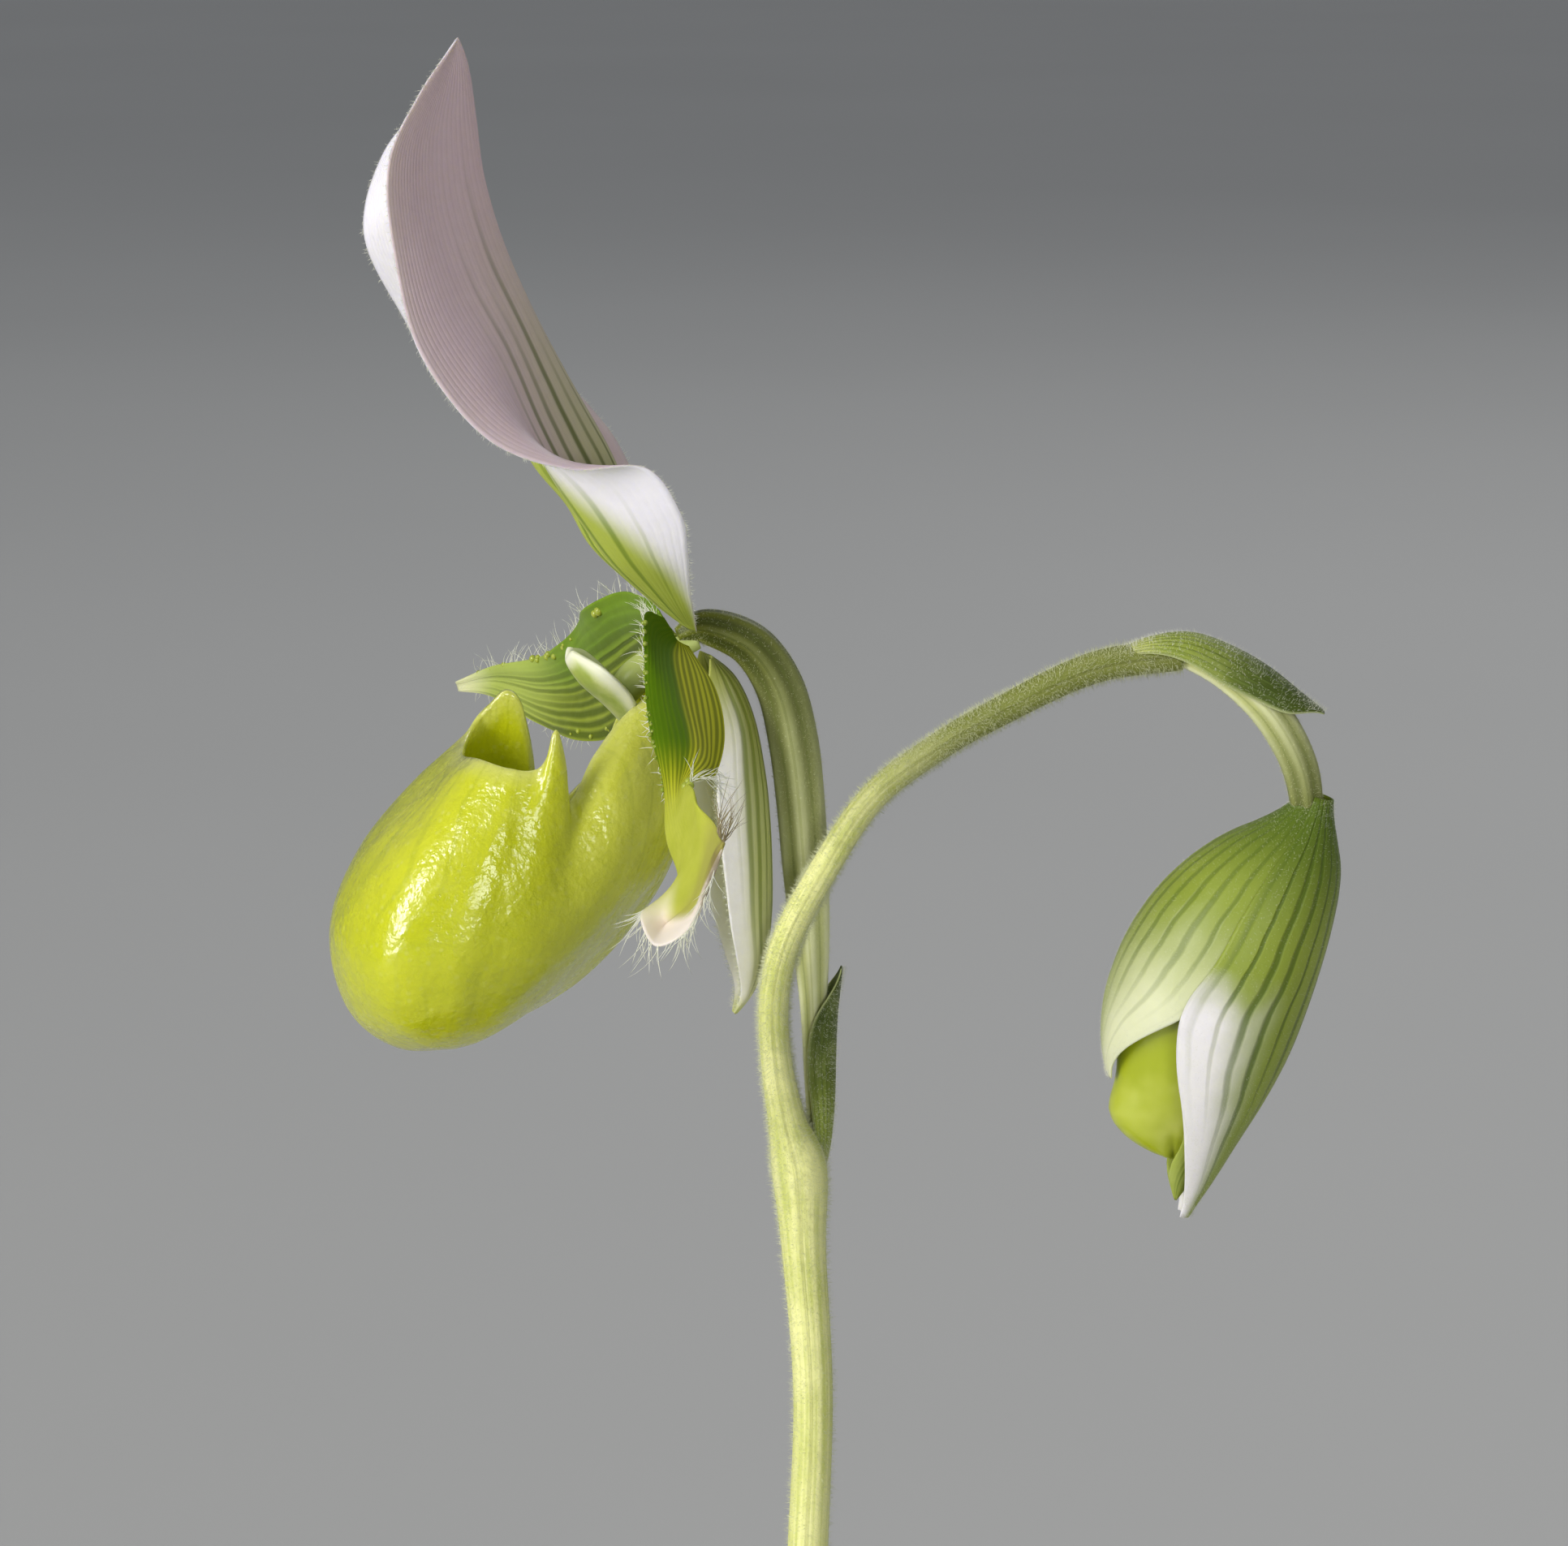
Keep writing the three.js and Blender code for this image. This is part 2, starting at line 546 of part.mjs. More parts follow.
// Petal rows: front margin to back margin. The left one twists as it drops
const LEFT_PETAL_ROWS = [
  [[2.8, 3.4, 2.4], [2.2, 3.4, 1.4], [1.7, 3.2, 0.5], [1.2, 3.1, 0.1], [0.6, 2.9, -0.2]],
  [[5.3, 8, 3.4], [4.6, 8.6, 1.5], [3.4, 8.8, 0.1], [1.6, 9, -1.3], [-0.2, 9, -2.6]],
  [[6.4, 14, -1.7], [5.5, 15, -1.8], [4.1, 15.3, -2.2], [2.3, 15.6, -3.6], [0.4, 16, -5.3]],
  [[7.2, 20, -4.3], [6.1, 21, -4.3], [4.6, 21.5, -4.6], [3.5, 22.3, -5.4], [2.7, 23, -6.7]],
  [[7.1, 25, -8.1], [6.7, 26, -7.2], [6.1, 26.5, -6.9], [5.8, 27, -6.5], [5.3, 27.5, -6.2]],
  [[7.5, 29, -10.8], [7.2, 30.3, -9.2], [6.9, 31, -7.9], [6.7, 31.3, -6.7], [6.7, 31.5, -5.7]],
  [[8.2, 33, -12.9], [7.6, 34.5, -11], [7, 35.2, -9.5], [6.8, 35.2, -7.7], [6.8, 35, -5.8]],
  [[11.3, 36, -14.5], [9.3, 36, -14.1], [7.9, 38, -12.4], [6.9, 38, -9.8], [6.5, 37.5, -6.5]],
  [[10.8, 38.5, -16.2], [9.1, 36.2, -15.2], [7.9, 39.5, -12.7], [7.1, 40, -10], [6.5, 40, -7]],
  [[8.7, 40.5, -14.6], [8.2, 40.5, -13.6], [7.9, 41.5, -11.8], [7.3, 42, -9.7], [6.6, 42.5, -7.1]],
  [[7.9, 42.5, -12], [7.7, 43, -10.8], [7.5, 43.5, -9.4], [7.2, 44, -8.2], [6.8, 44.5, -7.1]],
  [[7.1, 45, -7.8], [7, 45, -7.6], [6.9, 45, -7.4], [6.9, 45, -7.2], [6.8, 45, -7]],
];
const RIGHT_PETAL_ROWS = [
  [[1.8, -3.3, 1.7], [0.8, -3.2, 0.2], [-0.6, -2.9, -1.3]],
  [[2.6, -6.4, 2.6], [1.8, -6.2, -1.1], [1.6, -6.4, -4.2]],
  [[4.4, -12, 1.7], [2.4, -12.4, -3.4], [2, -12, -8.7]],
  [[5.7, -18, -0.8], [3.9, -18.4, -6.4], [4, -18, -12]],
  [[6.1, -24, -4.3], [5, -24.2, -8.7], [5.8, -24, -12.9]],
  [[7.6, -30, -6.9], [6.9, -30.2, -9.9], [7.6, -30, -12.7]],
  [[10, -38, -8.9], [9.6, -38.2, -10.4], [10.1, -38, -11.8]],
  [[12.4, -45, -11.6], [12.2, -45.2, -12], [12.1, -45, -12.5]],
];

// Warts stand along a petal's margin, thickest towards its base
function warts(surface, margin, count, seed) {
  const draw = drawer(seed);
  const beads = [];
  for (let i = 0; i < count; i += 1) {
    const v = 0.08 + 0.62 * (i + draw(0.2, 0.8)) / count;
    const u = Math.abs(margin - draw(0.02, 0.12));
    const bead = new THREE.OctahedronGeometry(draw(0.65, 0.9), 0);
    bead.rotateX(draw(0, 3)).rotateZ(draw(0, 3));
    const place = surface(u, v).addScaledVector(normalAt(surface, u, v), draw(0.1, 0.3));
    beads.push(bead.translate(place.x, place.y, place.z));
  }
  return beads;
}

function petal(name, rows, across, amplitude, phase, seed) {
  const surface = waved(net(rows), amplitude, 4, phase);
  const shape = blade(surface, across, 24, PETAL_THICKNESS);
  const beads = warts(surface, 0, 8, seed);
  return piece(name, fuse(shape, beads), COLOURS.petal, 0.5);
}

// Slipper: each line runs from the rim down to the lowest point of the pouch. The lines
// go round from the front of the rim past the horn, the notch and the claw to the back
const LIP_LOWEST = [20, 0, -33.6];
const LIP_LINES = [
  [[18.9, 0, -9.1], [22.6, 0, -12.8], [27.2, 0, -17.4],
    [29.8, 0, -23.4], [28.7, 0, -29.6], [25, 0, -33], LIP_LOWEST],
  [[18.4, 5.2, -8.4], [21.8, 6.6, -12.6], [25.4, 8, -17.6],
    [27.4, 8.4, -23.4], [26.4, 7.4, -28.7], [23.6, 4.8, -31.9], LIP_LOWEST],
  [[16.4, 7.8, -8.7], [18.6, 9.4, -13.2], [20.9, 10.6, -18.4],
    [22.2, 10.7, -23.8], [22, 8.8, -28.6], [21.2, 5.2, -31.9], LIP_LOWEST],
  [[14.5, 8.3, -8.5], [15.9, 9.5, -13], [17.5, 10.7, -18.3],
    [19, 10.7, -23.7], [19.6, 8.6, -28.3], [19.9, 5.1, -31.7], LIP_LOWEST],
  [[12.9, 8.4, -5.2], [13.7, 9.3, -12.2], [14.8, 10.4, -18.1],
    [16.2, 10.4, -23.6], [17.6, 8.4, -28], [18.7, 5, -31.5], LIP_LOWEST],
  [[11.9, 8, -11.6], [11.7, 8.9, -15.4], [12.2, 9.6, -19.4],
    [13.6, 9.4, -23.9], [15.5, 7.6, -27.6], [17.5, 4.6, -31.2], LIP_LOWEST],
  [[8.9, 4.8, -8.6], [8, 7, -10.2], [7.4, 8.1, -15],
    [8.6, 7.8, -20.2], [11.6, 6.2, -25.6], [15.5, 3.8, -30.4], LIP_LOWEST],
  [[5.8, 2.9, -5.6], [4.4, 4.7, -7], [3.6, 5.5, -11.6],
    [4.7, 5.4, -17], [8, 4.6, -23.2], [13.2, 2.8, -29.3], LIP_LOWEST],
  [[2, 1.6, -3.3], [1.1, 2.6, -5.2], [0.9, 3.2, -9.6],
    [2, 3.1, -15.4], [5.2, 2.6, -21.6], [11.2, 1.6, -28.6], LIP_LOWEST],
  [[1.2, 0, -3.4], [0.4, 0, -6], [0.1, 0, -11],
    [1.2, 0, -17], [4.4, 0, -23], [10.4, 0, -28.9], LIP_LOWEST],
];

// On the right the rim rises in one broad lobe instead of a narrow horn
const RIGHT_RIM = {
  1: [17.8, -5.2, -8.8],
  2: [16.6, -7.9, -7.9],
  3: [15.4, -8.3, -6.6],
  4: [13.6, -8, -5.6],
};
// Pulls on the rim: line number counted round by the left side, shift, and width in lines
const RIM_PULLS = [
  { at: 3.5, shift: [-0.4, 0, -0.9], width: 0.45 },
  { at: 4.5, shift: [-0.45, 0, -0.3], width: 0.38 },
  { at: 13.5, shift: [-0.9, 0, 0.2], width: 0.45 },
];
// The right side's notch is deeper: share of each line that is cut off, by line number
const RIGHT_NOTCH = [[10.2, 0], [11, 0.12], [11.7, 0.28], [12.3, 0.28], [13, 0.12], [13.8, 0]];

function lipSurface() {
  const half = LIP_LINES.slice(1, -1);
  const otherHalf = LIP_LINES.map((line, number) => line.map(([x, y, z], depth) => (
    depth === 0 && RIGHT_RIM[number] ? RIGHT_RIM[number] : [x, -y, z]
  ))).slice(1, -1).reverse();
  const ring = [LIP_LINES[0], ...half, LIP_LINES.at(-1), ...otherHalf];
  const lap = ring.length;
  const ends = [ring.at(-2), ring.at(-1), ...ring, ring[0], ring[1], ring[2]];
  return (u, v) => {
    const number = u * lap;
    const cut = graph(RIGHT_NOTCH, number);
    const depth = cut + (1 - cut) * v;
    const t = (2 + number) / (ends.length - 1);
    const point = new THREE.Vector3(...along(ends.map((line) => along(line, depth)), t));
    const near = 1 - THREE.MathUtils.smoothstep(v, 0, 0.2);
    RIM_PULLS.forEach(({ at, shift, width }) => {
      const pull = Math.exp(-(((number - at) / width) ** 2)) * near;
      point.addScaledVector(new THREE.Vector3(...shift), pull);
    });
    return point;
  };
}

function lip() {
  const shape = cup(lipSurface(), 54, 12, LIP_THICKNESS);
  return piece('lip', shape, COLOURS.lip, 0.25);
}

// Column with the shield that stands over the mouth of the slipper
const SHIELD_ROWS = [
  [[5.3, 1.3, -6.2], [5.4, 0.7, -6.6], [5.5, 0, -6.8]],
  [[6.2, 3, -3.7], [6.6, 1.7, -4.4], [7, 0, -4.8]],
  [[7.9, 3.5, -1.8], [8.4, 2, -2.6], [8.7, 0, -3.1]],
  [[9.6, 1, -0.9], [9.8, 0.5, -1.2], [9.9, 0, -1.5]],
];

function column() {
  const line = spine([
    [-0.7, 0, -0.2], [1.2, 0, -1.0], [3.0, 0, -1.9], [4.6, 0, -3.2], [5.9, 0, -4.9],
  ]);
  const post = stem(line, 8, 6, (s) => level([0.8, 1.0, 1.25, 1.45, 1.2], s));
  const shield = blade(net(mirrored(SHIELD_ROWS)), 6, 5, 0.8);
  return piece('column', fuse(post, [shield]), COLOURS.column, 0.4);
}

function flower() {
  const bloom = new THREE.Group();
  bloom.position.set(...FLOWER_ORIGIN);
  bloom.rotation.z = THREE.MathUtils.degToRad(FLOWER_TURN);
  bloom.add(
    dorsalSepal(),
    synsepalum(),
    petal('petal_left', LEFT_PETAL_ROWS, 6, 0.35, 0.4, 11),
    petal('petal_right', RIGHT_PETAL_ROWS, 4, 0.55, 1.8, 23),
    lip(),
    column(),
  );
  return bloom;
}

// Bud: every layer lies at its own depth under one outline. t runs from the top to the
// tip, and the angle from the side that faces -Y, with -90 at the lip and 90 at the back
const BUD_OFFSET = [[0, 0], [0.12, 1.6], [0.25, 2.8], [0.39, 3.5], [0.54, 3.7], [0.67, 3.5],
  [0.8, 2.7], [0.9, 1.5], [1, 0.2]];
const BUD_RADIUS = [[0, 1.6], [0.04, 3.0], [0.12, 5.2], [0.25, 7.1], [0.39, 7.9], [0.54, 7.9],
  [0.67, 6.9], [0.8, 4.9], [0.9, 2.9], [1, 0.6]];

// Smooth reading of a graph: the mean of a short stretch round t
function soft(pairs, t) {
  const reach = 0.05;
  let sum = 0;
  for (let k = -2; k <= 2; k += 1) sum += graph(pairs, t + k * reach / 2);
  return sum / 5;
}

function budPoint(t, angle, radius) {
  const top = new THREE.Vector3(...BUD_TOP);
  const axis = new THREE.Vector3(...BUD_TIP).sub(top);
  const lipSide = new THREE.Vector3(0, 1, 0).cross(axis).normalize();
  const turn = THREE.MathUtils.degToRad(angle);
  const sideways = soft(BUD_OFFSET, t) - radius * Math.sin(turn);
  const point = top.addScaledVector(axis, t).addScaledVector(lipSide, sideways);
  point.y -= BUD_FLATNESS * radius * Math.cos(turn);
  return point;
}

// Layer of the bud between two graphs of edge angles, at a depth below the outline
function budLayer(first, last, edges, depth) {
  return (u, v) => {
    const t = first + (last - first) * v;
    const low = soft(edges.low, t);
    const high = soft(edges.high, t);
    return budPoint(t, low + (high - low) * u, soft(BUD_RADIUS, t) - depth);
  };
}

const BUD_BACK_EDGES = {
  low: [[0, 3], [0.36, 2], [0.47, -17], [0.6, -12], [0.75, 2], [0.9, 12], [1, 20]],
  high: [[0, 177], [0.36, 178], [0.47, 197], [0.6, 192], [0.75, 178], [0.9, 168], [1, 160]],
};
const BUD_FRONT_EDGES = {
  low: [[0, -177], [0.36, -177], [0.5, -158], [0.62, -128], [0.74, -96], [1, -94]],
  high: [[0, -3], [0.36, -3], [0.5, -22], [0.62, -52], [0.74, -84], [1, -86]],
};
const BUD_PETAL_EDGES = {
  low: [[0, 8], [0.86, 8], [0.92, -42], [1, -46]],
  high: [[0, 75], [1, 75]],
};

function mirroredEdges({ low, high }) {
  return {
    low: low.map(([t, angle]) => [t, 180 - angle]),
    high: high.map(([t, angle]) => [t, 180 - angle]),
  };
}

function budLip() {
  const points = [];
  const triangles = [];
  const sides = 16;
  const rings = 13;
  const first = 0.1;
  const last = 0.875;
  const bulge = [[0, 0], [0.5, 0.6], [0.62, 0.9], [0.7, 1.1], [0.76, 2.6], [0.85, 6.8], [0.9, 6.8]];
  for (let j = 0; j <= rings; j += 1) {
    const v = 0.5 - 0.5 * Math.cos(Math.PI * j / rings);
    const t = first + (last - first) * v;
    const round = Math.max(1 - (2 * v - 1) ** 4, 0.01) ** 0.4;
    for (let i = 0; i < sides; i += 1) {
      const angle = 360 * i / sides;
      const facing = Math.max(0, -Math.sin(THREE.MathUtils.degToRad(angle)));
      const radius = soft(BUD_RADIUS, t) - 2.1 + soft(bulge, t) * facing ** 2;
      points.push(budPoint(t, angle, Math.max(radius, 0.5) * round));
    }
  }
  for (let j = 0; j < rings; j += 1) {
    for (let i = 0; i < sides; i += 1) {
      const a = j * sides + i;
      const b = j * sides + (i + 1) % sides;
      triangles.push([a, b, b + sides], [a, b + sides, a + sides]);
    }
  }
  for (let i = 1; i < sides - 1; i += 1) {
    const end = rings * sides;
    triangles.push([0, i + 1, i], [end, end + i, end + i + 1]);
  }
  return piece('bud_lip', closedShape(points, triangles), COLOURS.lip, 0.25);
}

function bud() {
  const thickness = 0.6;
  const under = 1.3;
  const back = blade(budLayer(0.01, 1, BUD_BACK_EDGES, 0), 10, 12, thickness);
  const front = blade(budLayer(0.01, 0.72, BUD_FRONT_EDGES, 0), 10, 10, thickness);
  const near = blade(budLayer(0.12, 0.97, BUD_PETAL_EDGES, under), 3, 11, thickness);
  const farEdges = mirroredEdges(BUD_PETAL_EDGES);
  const far = blade(budLayer(0.12, 0.97, farEdges, under), 3, 11, thickness);
  return [
    piece('bud_dorsal_sepal', back, COLOURS.sepal, 0.5),
    piece('bud_synsepalum', front, COLOURS.sepal, 0.5),
    piece('bud_petal_left', near, COLOURS.petal, 0.5),
    piece('bud_petal_right', far, COLOURS.petal, 0.5),
    budLip(),
  ];
}

const plant = new THREE.Group();
plant.add(pot(), medium(), crown());
LEAVES.forEach((size, i) => plant.add(leaf(size, i + 1)));
plant.add(scape(), bractOne(), bractTwo(), ovaryOne(), ovaryTwo(), flower(), ...bud());

export default plant;
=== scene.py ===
"""A maudiae slipper orchid in a clay pot, dressed for rendering.

Shapes are worked out in millimetres, in the same frame as the solids, and turned into
metres when a mesh is made. The flower's own frame has +X forward and +Y to its left.
"""

import math

import bpy
import numpy as np
from mathutils import Euler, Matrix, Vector


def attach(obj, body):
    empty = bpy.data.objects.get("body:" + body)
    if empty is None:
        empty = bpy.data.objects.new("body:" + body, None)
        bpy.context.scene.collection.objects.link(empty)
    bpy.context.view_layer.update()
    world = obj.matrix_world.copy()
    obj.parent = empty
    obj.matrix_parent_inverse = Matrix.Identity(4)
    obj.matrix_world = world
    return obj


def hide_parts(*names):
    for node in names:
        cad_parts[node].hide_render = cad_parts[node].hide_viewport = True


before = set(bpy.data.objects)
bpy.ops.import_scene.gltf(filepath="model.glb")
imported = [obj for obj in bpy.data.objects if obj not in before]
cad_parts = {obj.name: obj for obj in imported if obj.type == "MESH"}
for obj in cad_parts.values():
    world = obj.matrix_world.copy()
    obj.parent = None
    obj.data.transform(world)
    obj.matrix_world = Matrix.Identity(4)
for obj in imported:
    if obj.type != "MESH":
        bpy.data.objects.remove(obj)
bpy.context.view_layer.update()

MM = 0.001
TURN = 2 * math.pi
GOLDEN_TURN = 2.39996

# Camera: the photograph's frame is 1932 by 1905 pixels, 0.068 mm a pixel at the flower
IMAGE_WIDTH = 1932
PIXEL = 0.068
VIEW_DISTANCE = 400.0
VIEW_ELEVATION = 12.0
VIEW_TARGET = (-1.6, 0.0, 311.0)
SENSOR = 36.0

# Pot and medium
POT_HEIGHT = 95.0
POT_TOP_RADIUS = 55.0
POT_FOOT_RADIUS = 38.0
POT_WALL = 4.0
POT_FLOOR = 6.0
COLLAR_HEIGHT = 20.0
COLLAR_STEP = 2.5
COLLAR_SLOPE = 1.2
POT_ROUNDING = 1.3
DRAIN_RADIUS = 4.0
DRAIN_CIRCLE = 20.0
DRAIN_COUNT = 4
MEDIUM_TOP = 82.0
MEDIUM_EDGE = 80.5
CROWN_TOP = 90.9
FIT_GAP = 0.3

# Leaf fan: azimuth, length, half width, launch and end tilt, clasping radius, start height
LEAVES = [
    (12, 132, 19, 24, 96, 7.4, 83.0),
    (200, 138, 20, 22, 92, 7.4, 83.0),
    (28, 120, 18, 17, 80, 5.6, 86.6),
    (184, 124, 18, 15, 76, 5.6, 86.6),
    (4, 86, 14, 10, 60, 3.8, 90.6),
    (208, 96, 15, 9, 56, 3.8, 90.6),
]

FLOWER_ORIGIN = np.array([-9.5, -2.7, 323.0])
FLOWER_TURN = math.radians(193)

SCAPE_POINTS = [
    (0.0, 0.0, CROWN_TOP + FIT_GAP), (0.7, 0.5, 120), (0.6, 0.7, 150), (-0.2, 0.5, 180),
    (-0.4, 0.2, 210), (0.4, 0.0, 240), (0.9, 0.0, 256), (0.1, 0.0, 269.3), (-0.3, 0.0, 276.5),
    (-1.4, -0.8, 281.2), (-2.3, -2.5, 287.2), (-2.4, -4.5, 293.0), (-1.3, -5.9, 298.2),
    (1.5, -6.5, 303.9), (5.6, -6.5, 310.2), (10.7, -6.4, 314.3), (16.0, -6.2, 317.4),
    (23.7, -5.7, 321.0), (31.0, -5.1, 322.1),
]
SCAPE_RADII = [
    2.3, 2.25, 2.15, 2.05, 1.9, 1.77, 1.7, 1.9, 2.35, 1.6, 1.3, 1.25, 1.25, 1.2, 1.15, 1.15,
    1.2, 1.3, 1.35,
]
OVARY_1_POINTS = [
    (0.5, 0.7, 274.5), (1.0, 1.1, 277.4), (1.2, 1.3, 280.3), (1.0, 1.2, 285), (0.9, 0.9, 291),
    (0.6, 0.4, 297), (0.2, 0.0, 303), (-0.2, -0.4, 308.5), (-0.8, -0.8, 313.8),
    (-2.0, -1.3, 318.7), (-4.4, -1.9, 322.3), (-8.1, -2.5, 323.9), (-10.4, -2.9, 323.2),
]
OVARY_1_RADII = [0.6, 0.8, 0.9, 0.95, 1.2, 1.7, 2.0, 2.1, 2.15, 2.05, 1.85, 1.45, 0.7]
OVARY_2_POINTS = [
    (29.0, -5.1, 322.2), (31.9, -5.0, 322.0), (35.2, -5.0, 320.2), (38.5, -5.0, 317.2),
    (40.9, -5.0, 313.0), (41.7, -5.0, 308.8), (41.3, -5.0, 305.0),
]
OVARY_2_RADII = [0.8, 1.25, 1.4, 1.6, 1.55, 1.35, 1.2]
OVARY_RIBS = 6
BRACT_1_POINTS = [
    (0.6, 0.8, 275.0), (0.9, 1.1, 278.4), (1.0, 1.2, 282), (1.0, 1.2, 286), (1.0, 1.1, 290),
    (1.0, 0.9, 294),
]
BRACT_2_POINTS = [
    (26.2, -5.5, 321.6), (28.8, -5.3, 322.0), (31.6, -5.1, 321.8), (34.4, -5.0, 320.6),
    (37.0, -5.0, 319.0), (39.6, -5.0, 317.0), (42.0, -5.0, 315.6),
]

# Sepals: each row runs from the left edge over the midrib to the right edge
DORSAL_ROWS = [
    [(-0.2, 2.2, 0.9), (0.2, 1.2, 1.0), (0.4, 0, 1.2), (0.2, -1.2, 1.0), (-0.2, -2.2, 0.9)],
    [(1.1, 6, 5.2), (4.0, 3.5, 4.3), (1.9, 0, 3.6), (4.0, -3.5, 4.3), (1.1, -6, 5.2)],
    [(1.9, 9, 8.7), (7.1, 5.5, 7.3), (3.6, 0, 6.9), (7.0, -5.5, 7.3), (1.9, -9, 8.7)],
    [(2.9, 11, 12.2), (9.6, 6.5, 10.6), (4.9, 0, 11.4), (8.8, -6.5, 10.6), (2.6, -11.2, 12.6)],
    [(6.0, 12, 16.1), (11.9, 7, 14.0), (6.8, 0, 16.0), (11.5, -7, 14.0), (4.9, -12.3, 16.7)],
    [(12.2, 12, 16.2), (14.6, 7.3, 18.8), (9.9, 0, 21.6), (14.2, -7.3, 19.2), (9.0, -12.3, 20.0)],
    [(18.6, 11.5, 18.8), (17.1, 7, 24.0), (12.9, 0, 27.4), (17.0, -7, 24.0), (17.6, -12, 19.4)],
    [(23.6, 10.6, 25.5), (20.1, 6.5, 29.4), (15.3, 0, 33.0), (20.0, -6.8, 29.3), (21.6, -11.2, 25.8)],
    [(25.3, 9, 33.0), (21.9, 5.7, 35.6), (16.8, 0, 38.2), (22.0, -5.9, 35.6), (25.1, -9, 33.0)],
    [(25.6, 8.4, 40.0), (22.0, 4.8, 41.3), (17.4, 0, 43.0), (21.1, -5.2, 41.1), (23.4, -9.2, 39.5)],
    [(22.6, 4.9, 45.1), (20.4, 2.6, 45.9), (17.9, 0, 46.8), (19.2, -2.8, 45.8), (19.9, -5.0, 44.8)],
    [(18.8, 0.35, 49.2), (18.7, 0.17, 49.3), (18.6, 0, 49.4), (18.6, -0.17, 49.3), (18.6, -0.35, 49.2)],
]
# The lower sepal's rows stop at the midrib, and the other half mirrors them
SYNSEPALUM_ROWS = [
    [(-1.4, 2.0, -1.5), (-1.7, 1.1, -1.6), (-1.9, 0, -1.6)],
    [(-1.0, 3.4, -4.1), (-3.0, 2.4, -3.8), (-3.9, 0, -3.7)],
    [(-1.4, 4.5, -7.2), (-4.1, 3.2, -7.1), (-5.3, 0, -7.0)],
    [(-1.2, 5.3, -11.3), (-4.5, 3.8, -11.5), (-6.2, 0, -11.6)],
    [(-1.4, 5.4, -15.2), (-4.7, 3.9, -15.3), (-6.6, 0, -15.4)],
    [(-1.9, 5.0, -19.0), (-4.9, 3.6, -19.3), (-6.8, 0, -19.5)],
    [(-2.6, 4.1, -23.5), (-5.1, 2.9, -23.5), (-6.8, 0, -23.5)],
    [(-3.5, 2.7, -27.4), (-5.4, 1.8, -27.2), (-6.4, 0, -27.0)],
    [(-4.1, 1.2, -30.2), (-4.9, 0.8, -30.1), (-5.5, 0, -30.0)],
    [(-3.7, 0.3, -32.2), (-3.8, 0.15, -32.3), (-4.0, 0, -32.3)],
]
# Petals: each row runs from the front margin to the back margin
LEFT_PETAL_ROWS = [
    [(2.8, 3.4, 2.4), (2.2, 3.4, 1.4), (1.7, 3.2, 0.5), (1.2, 3.1, 0.1), (0.6, 2.9, -0.2)],
    [(5.3, 8.0, 3.4), (4.6, 8.6, 1.5), (3.4, 8.8, 0.1), (1.6, 9.0, -1.3), (-0.2, 9.0, -2.6)],
    [(6.4, 14.0, -1.7), (5.5, 15.0, -1.8), (4.1, 15.3, -2.2), (2.3, 15.6, -3.6), (0.4, 16.0, -5.3)],
    [(7.2, 20.0, -4.3), (6.1, 21.0, -4.3), (4.6, 21.5, -4.6), (3.5, 22.3, -5.4), (2.7, 23.0, -6.7)],
    [(7.1, 25.0, -8.1), (6.7, 26.0, -7.2), (6.1, 26.5, -6.9), (5.8, 27.0, -6.5), (5.3, 27.5, -6.2)],
    [(7.5, 29.0, -10.8), (7.2, 30.3, -9.2), (6.9, 31.0, -7.9), (6.7, 31.3, -6.7), (6.7, 31.5, -5.7)],
    [(8.2, 33.0, -12.9), (7.6, 34.5, -11.0), (7.0, 35.2, -9.5), (6.8, 35.2, -7.7), (6.8, 35.0, -5.8)],
    [(11.3, 36.0, -14.5), (9.3, 36.0, -14.1), (7.9, 38.0, -12.4), (6.9, 38.0, -9.8), (6.5, 37.5, -6.5)],
    [(10.8, 38.5, -16.2), (9.1, 36.2, -15.2), (7.9, 39.5, -12.7), (7.1, 40.0, -10.0), (6.5, 40.0, -7.0)],
    [(8.7, 40.5, -14.6), (8.2, 40.5, -13.6), (7.9, 41.5, -11.8), (7.3, 42.0, -9.7), (6.6, 42.5, -7.1)],
    [(7.9, 42.5, -12.0), (7.7, 43.0, -10.8), (7.5, 43.5, -9.4), (7.2, 44.0, -8.2), (6.8, 44.5, -7.1)],
    [(7.1, 45.0, -7.8), (7.0, 45.0, -7.6), (6.9, 45.0, -7.4), (6.9, 45.0, -7.2), (6.8, 45.0, -7.0)],
]
RIGHT_PETAL_ROWS = [
    [(1.8, -3.3, 1.7), (0.8, -3.2, 0.2), (-0.6, -2.9, -1.3)],
    [(2.6, -6.4, 2.6), (1.8, -6.2, -1.1), (1.6, -6.4, -4.2)],
    [(4.4, -12, 1.7), (2.4, -12.4, -3.4), (2.0, -12, -8.7)],
    [(5.7, -18, -0.8), (3.9, -18.4, -6.4), (4.0, -18, -12.0)],
    [(6.1, -24, -4.3), (5.0, -24.2, -8.7), (5.8, -24, -12.9)],
    [(7.6, -30, -6.9), (6.9, -30.2, -9.9), (7.6, -30, -12.7)],
    [(10.0, -38, -8.9), (9.6, -38.2, -10.4), (10.1, -38, -11.8)],
    [(12.4, -45, -11.6), (12.2, -45.2, -12.0), (12.1, -45, -12.5)],
]
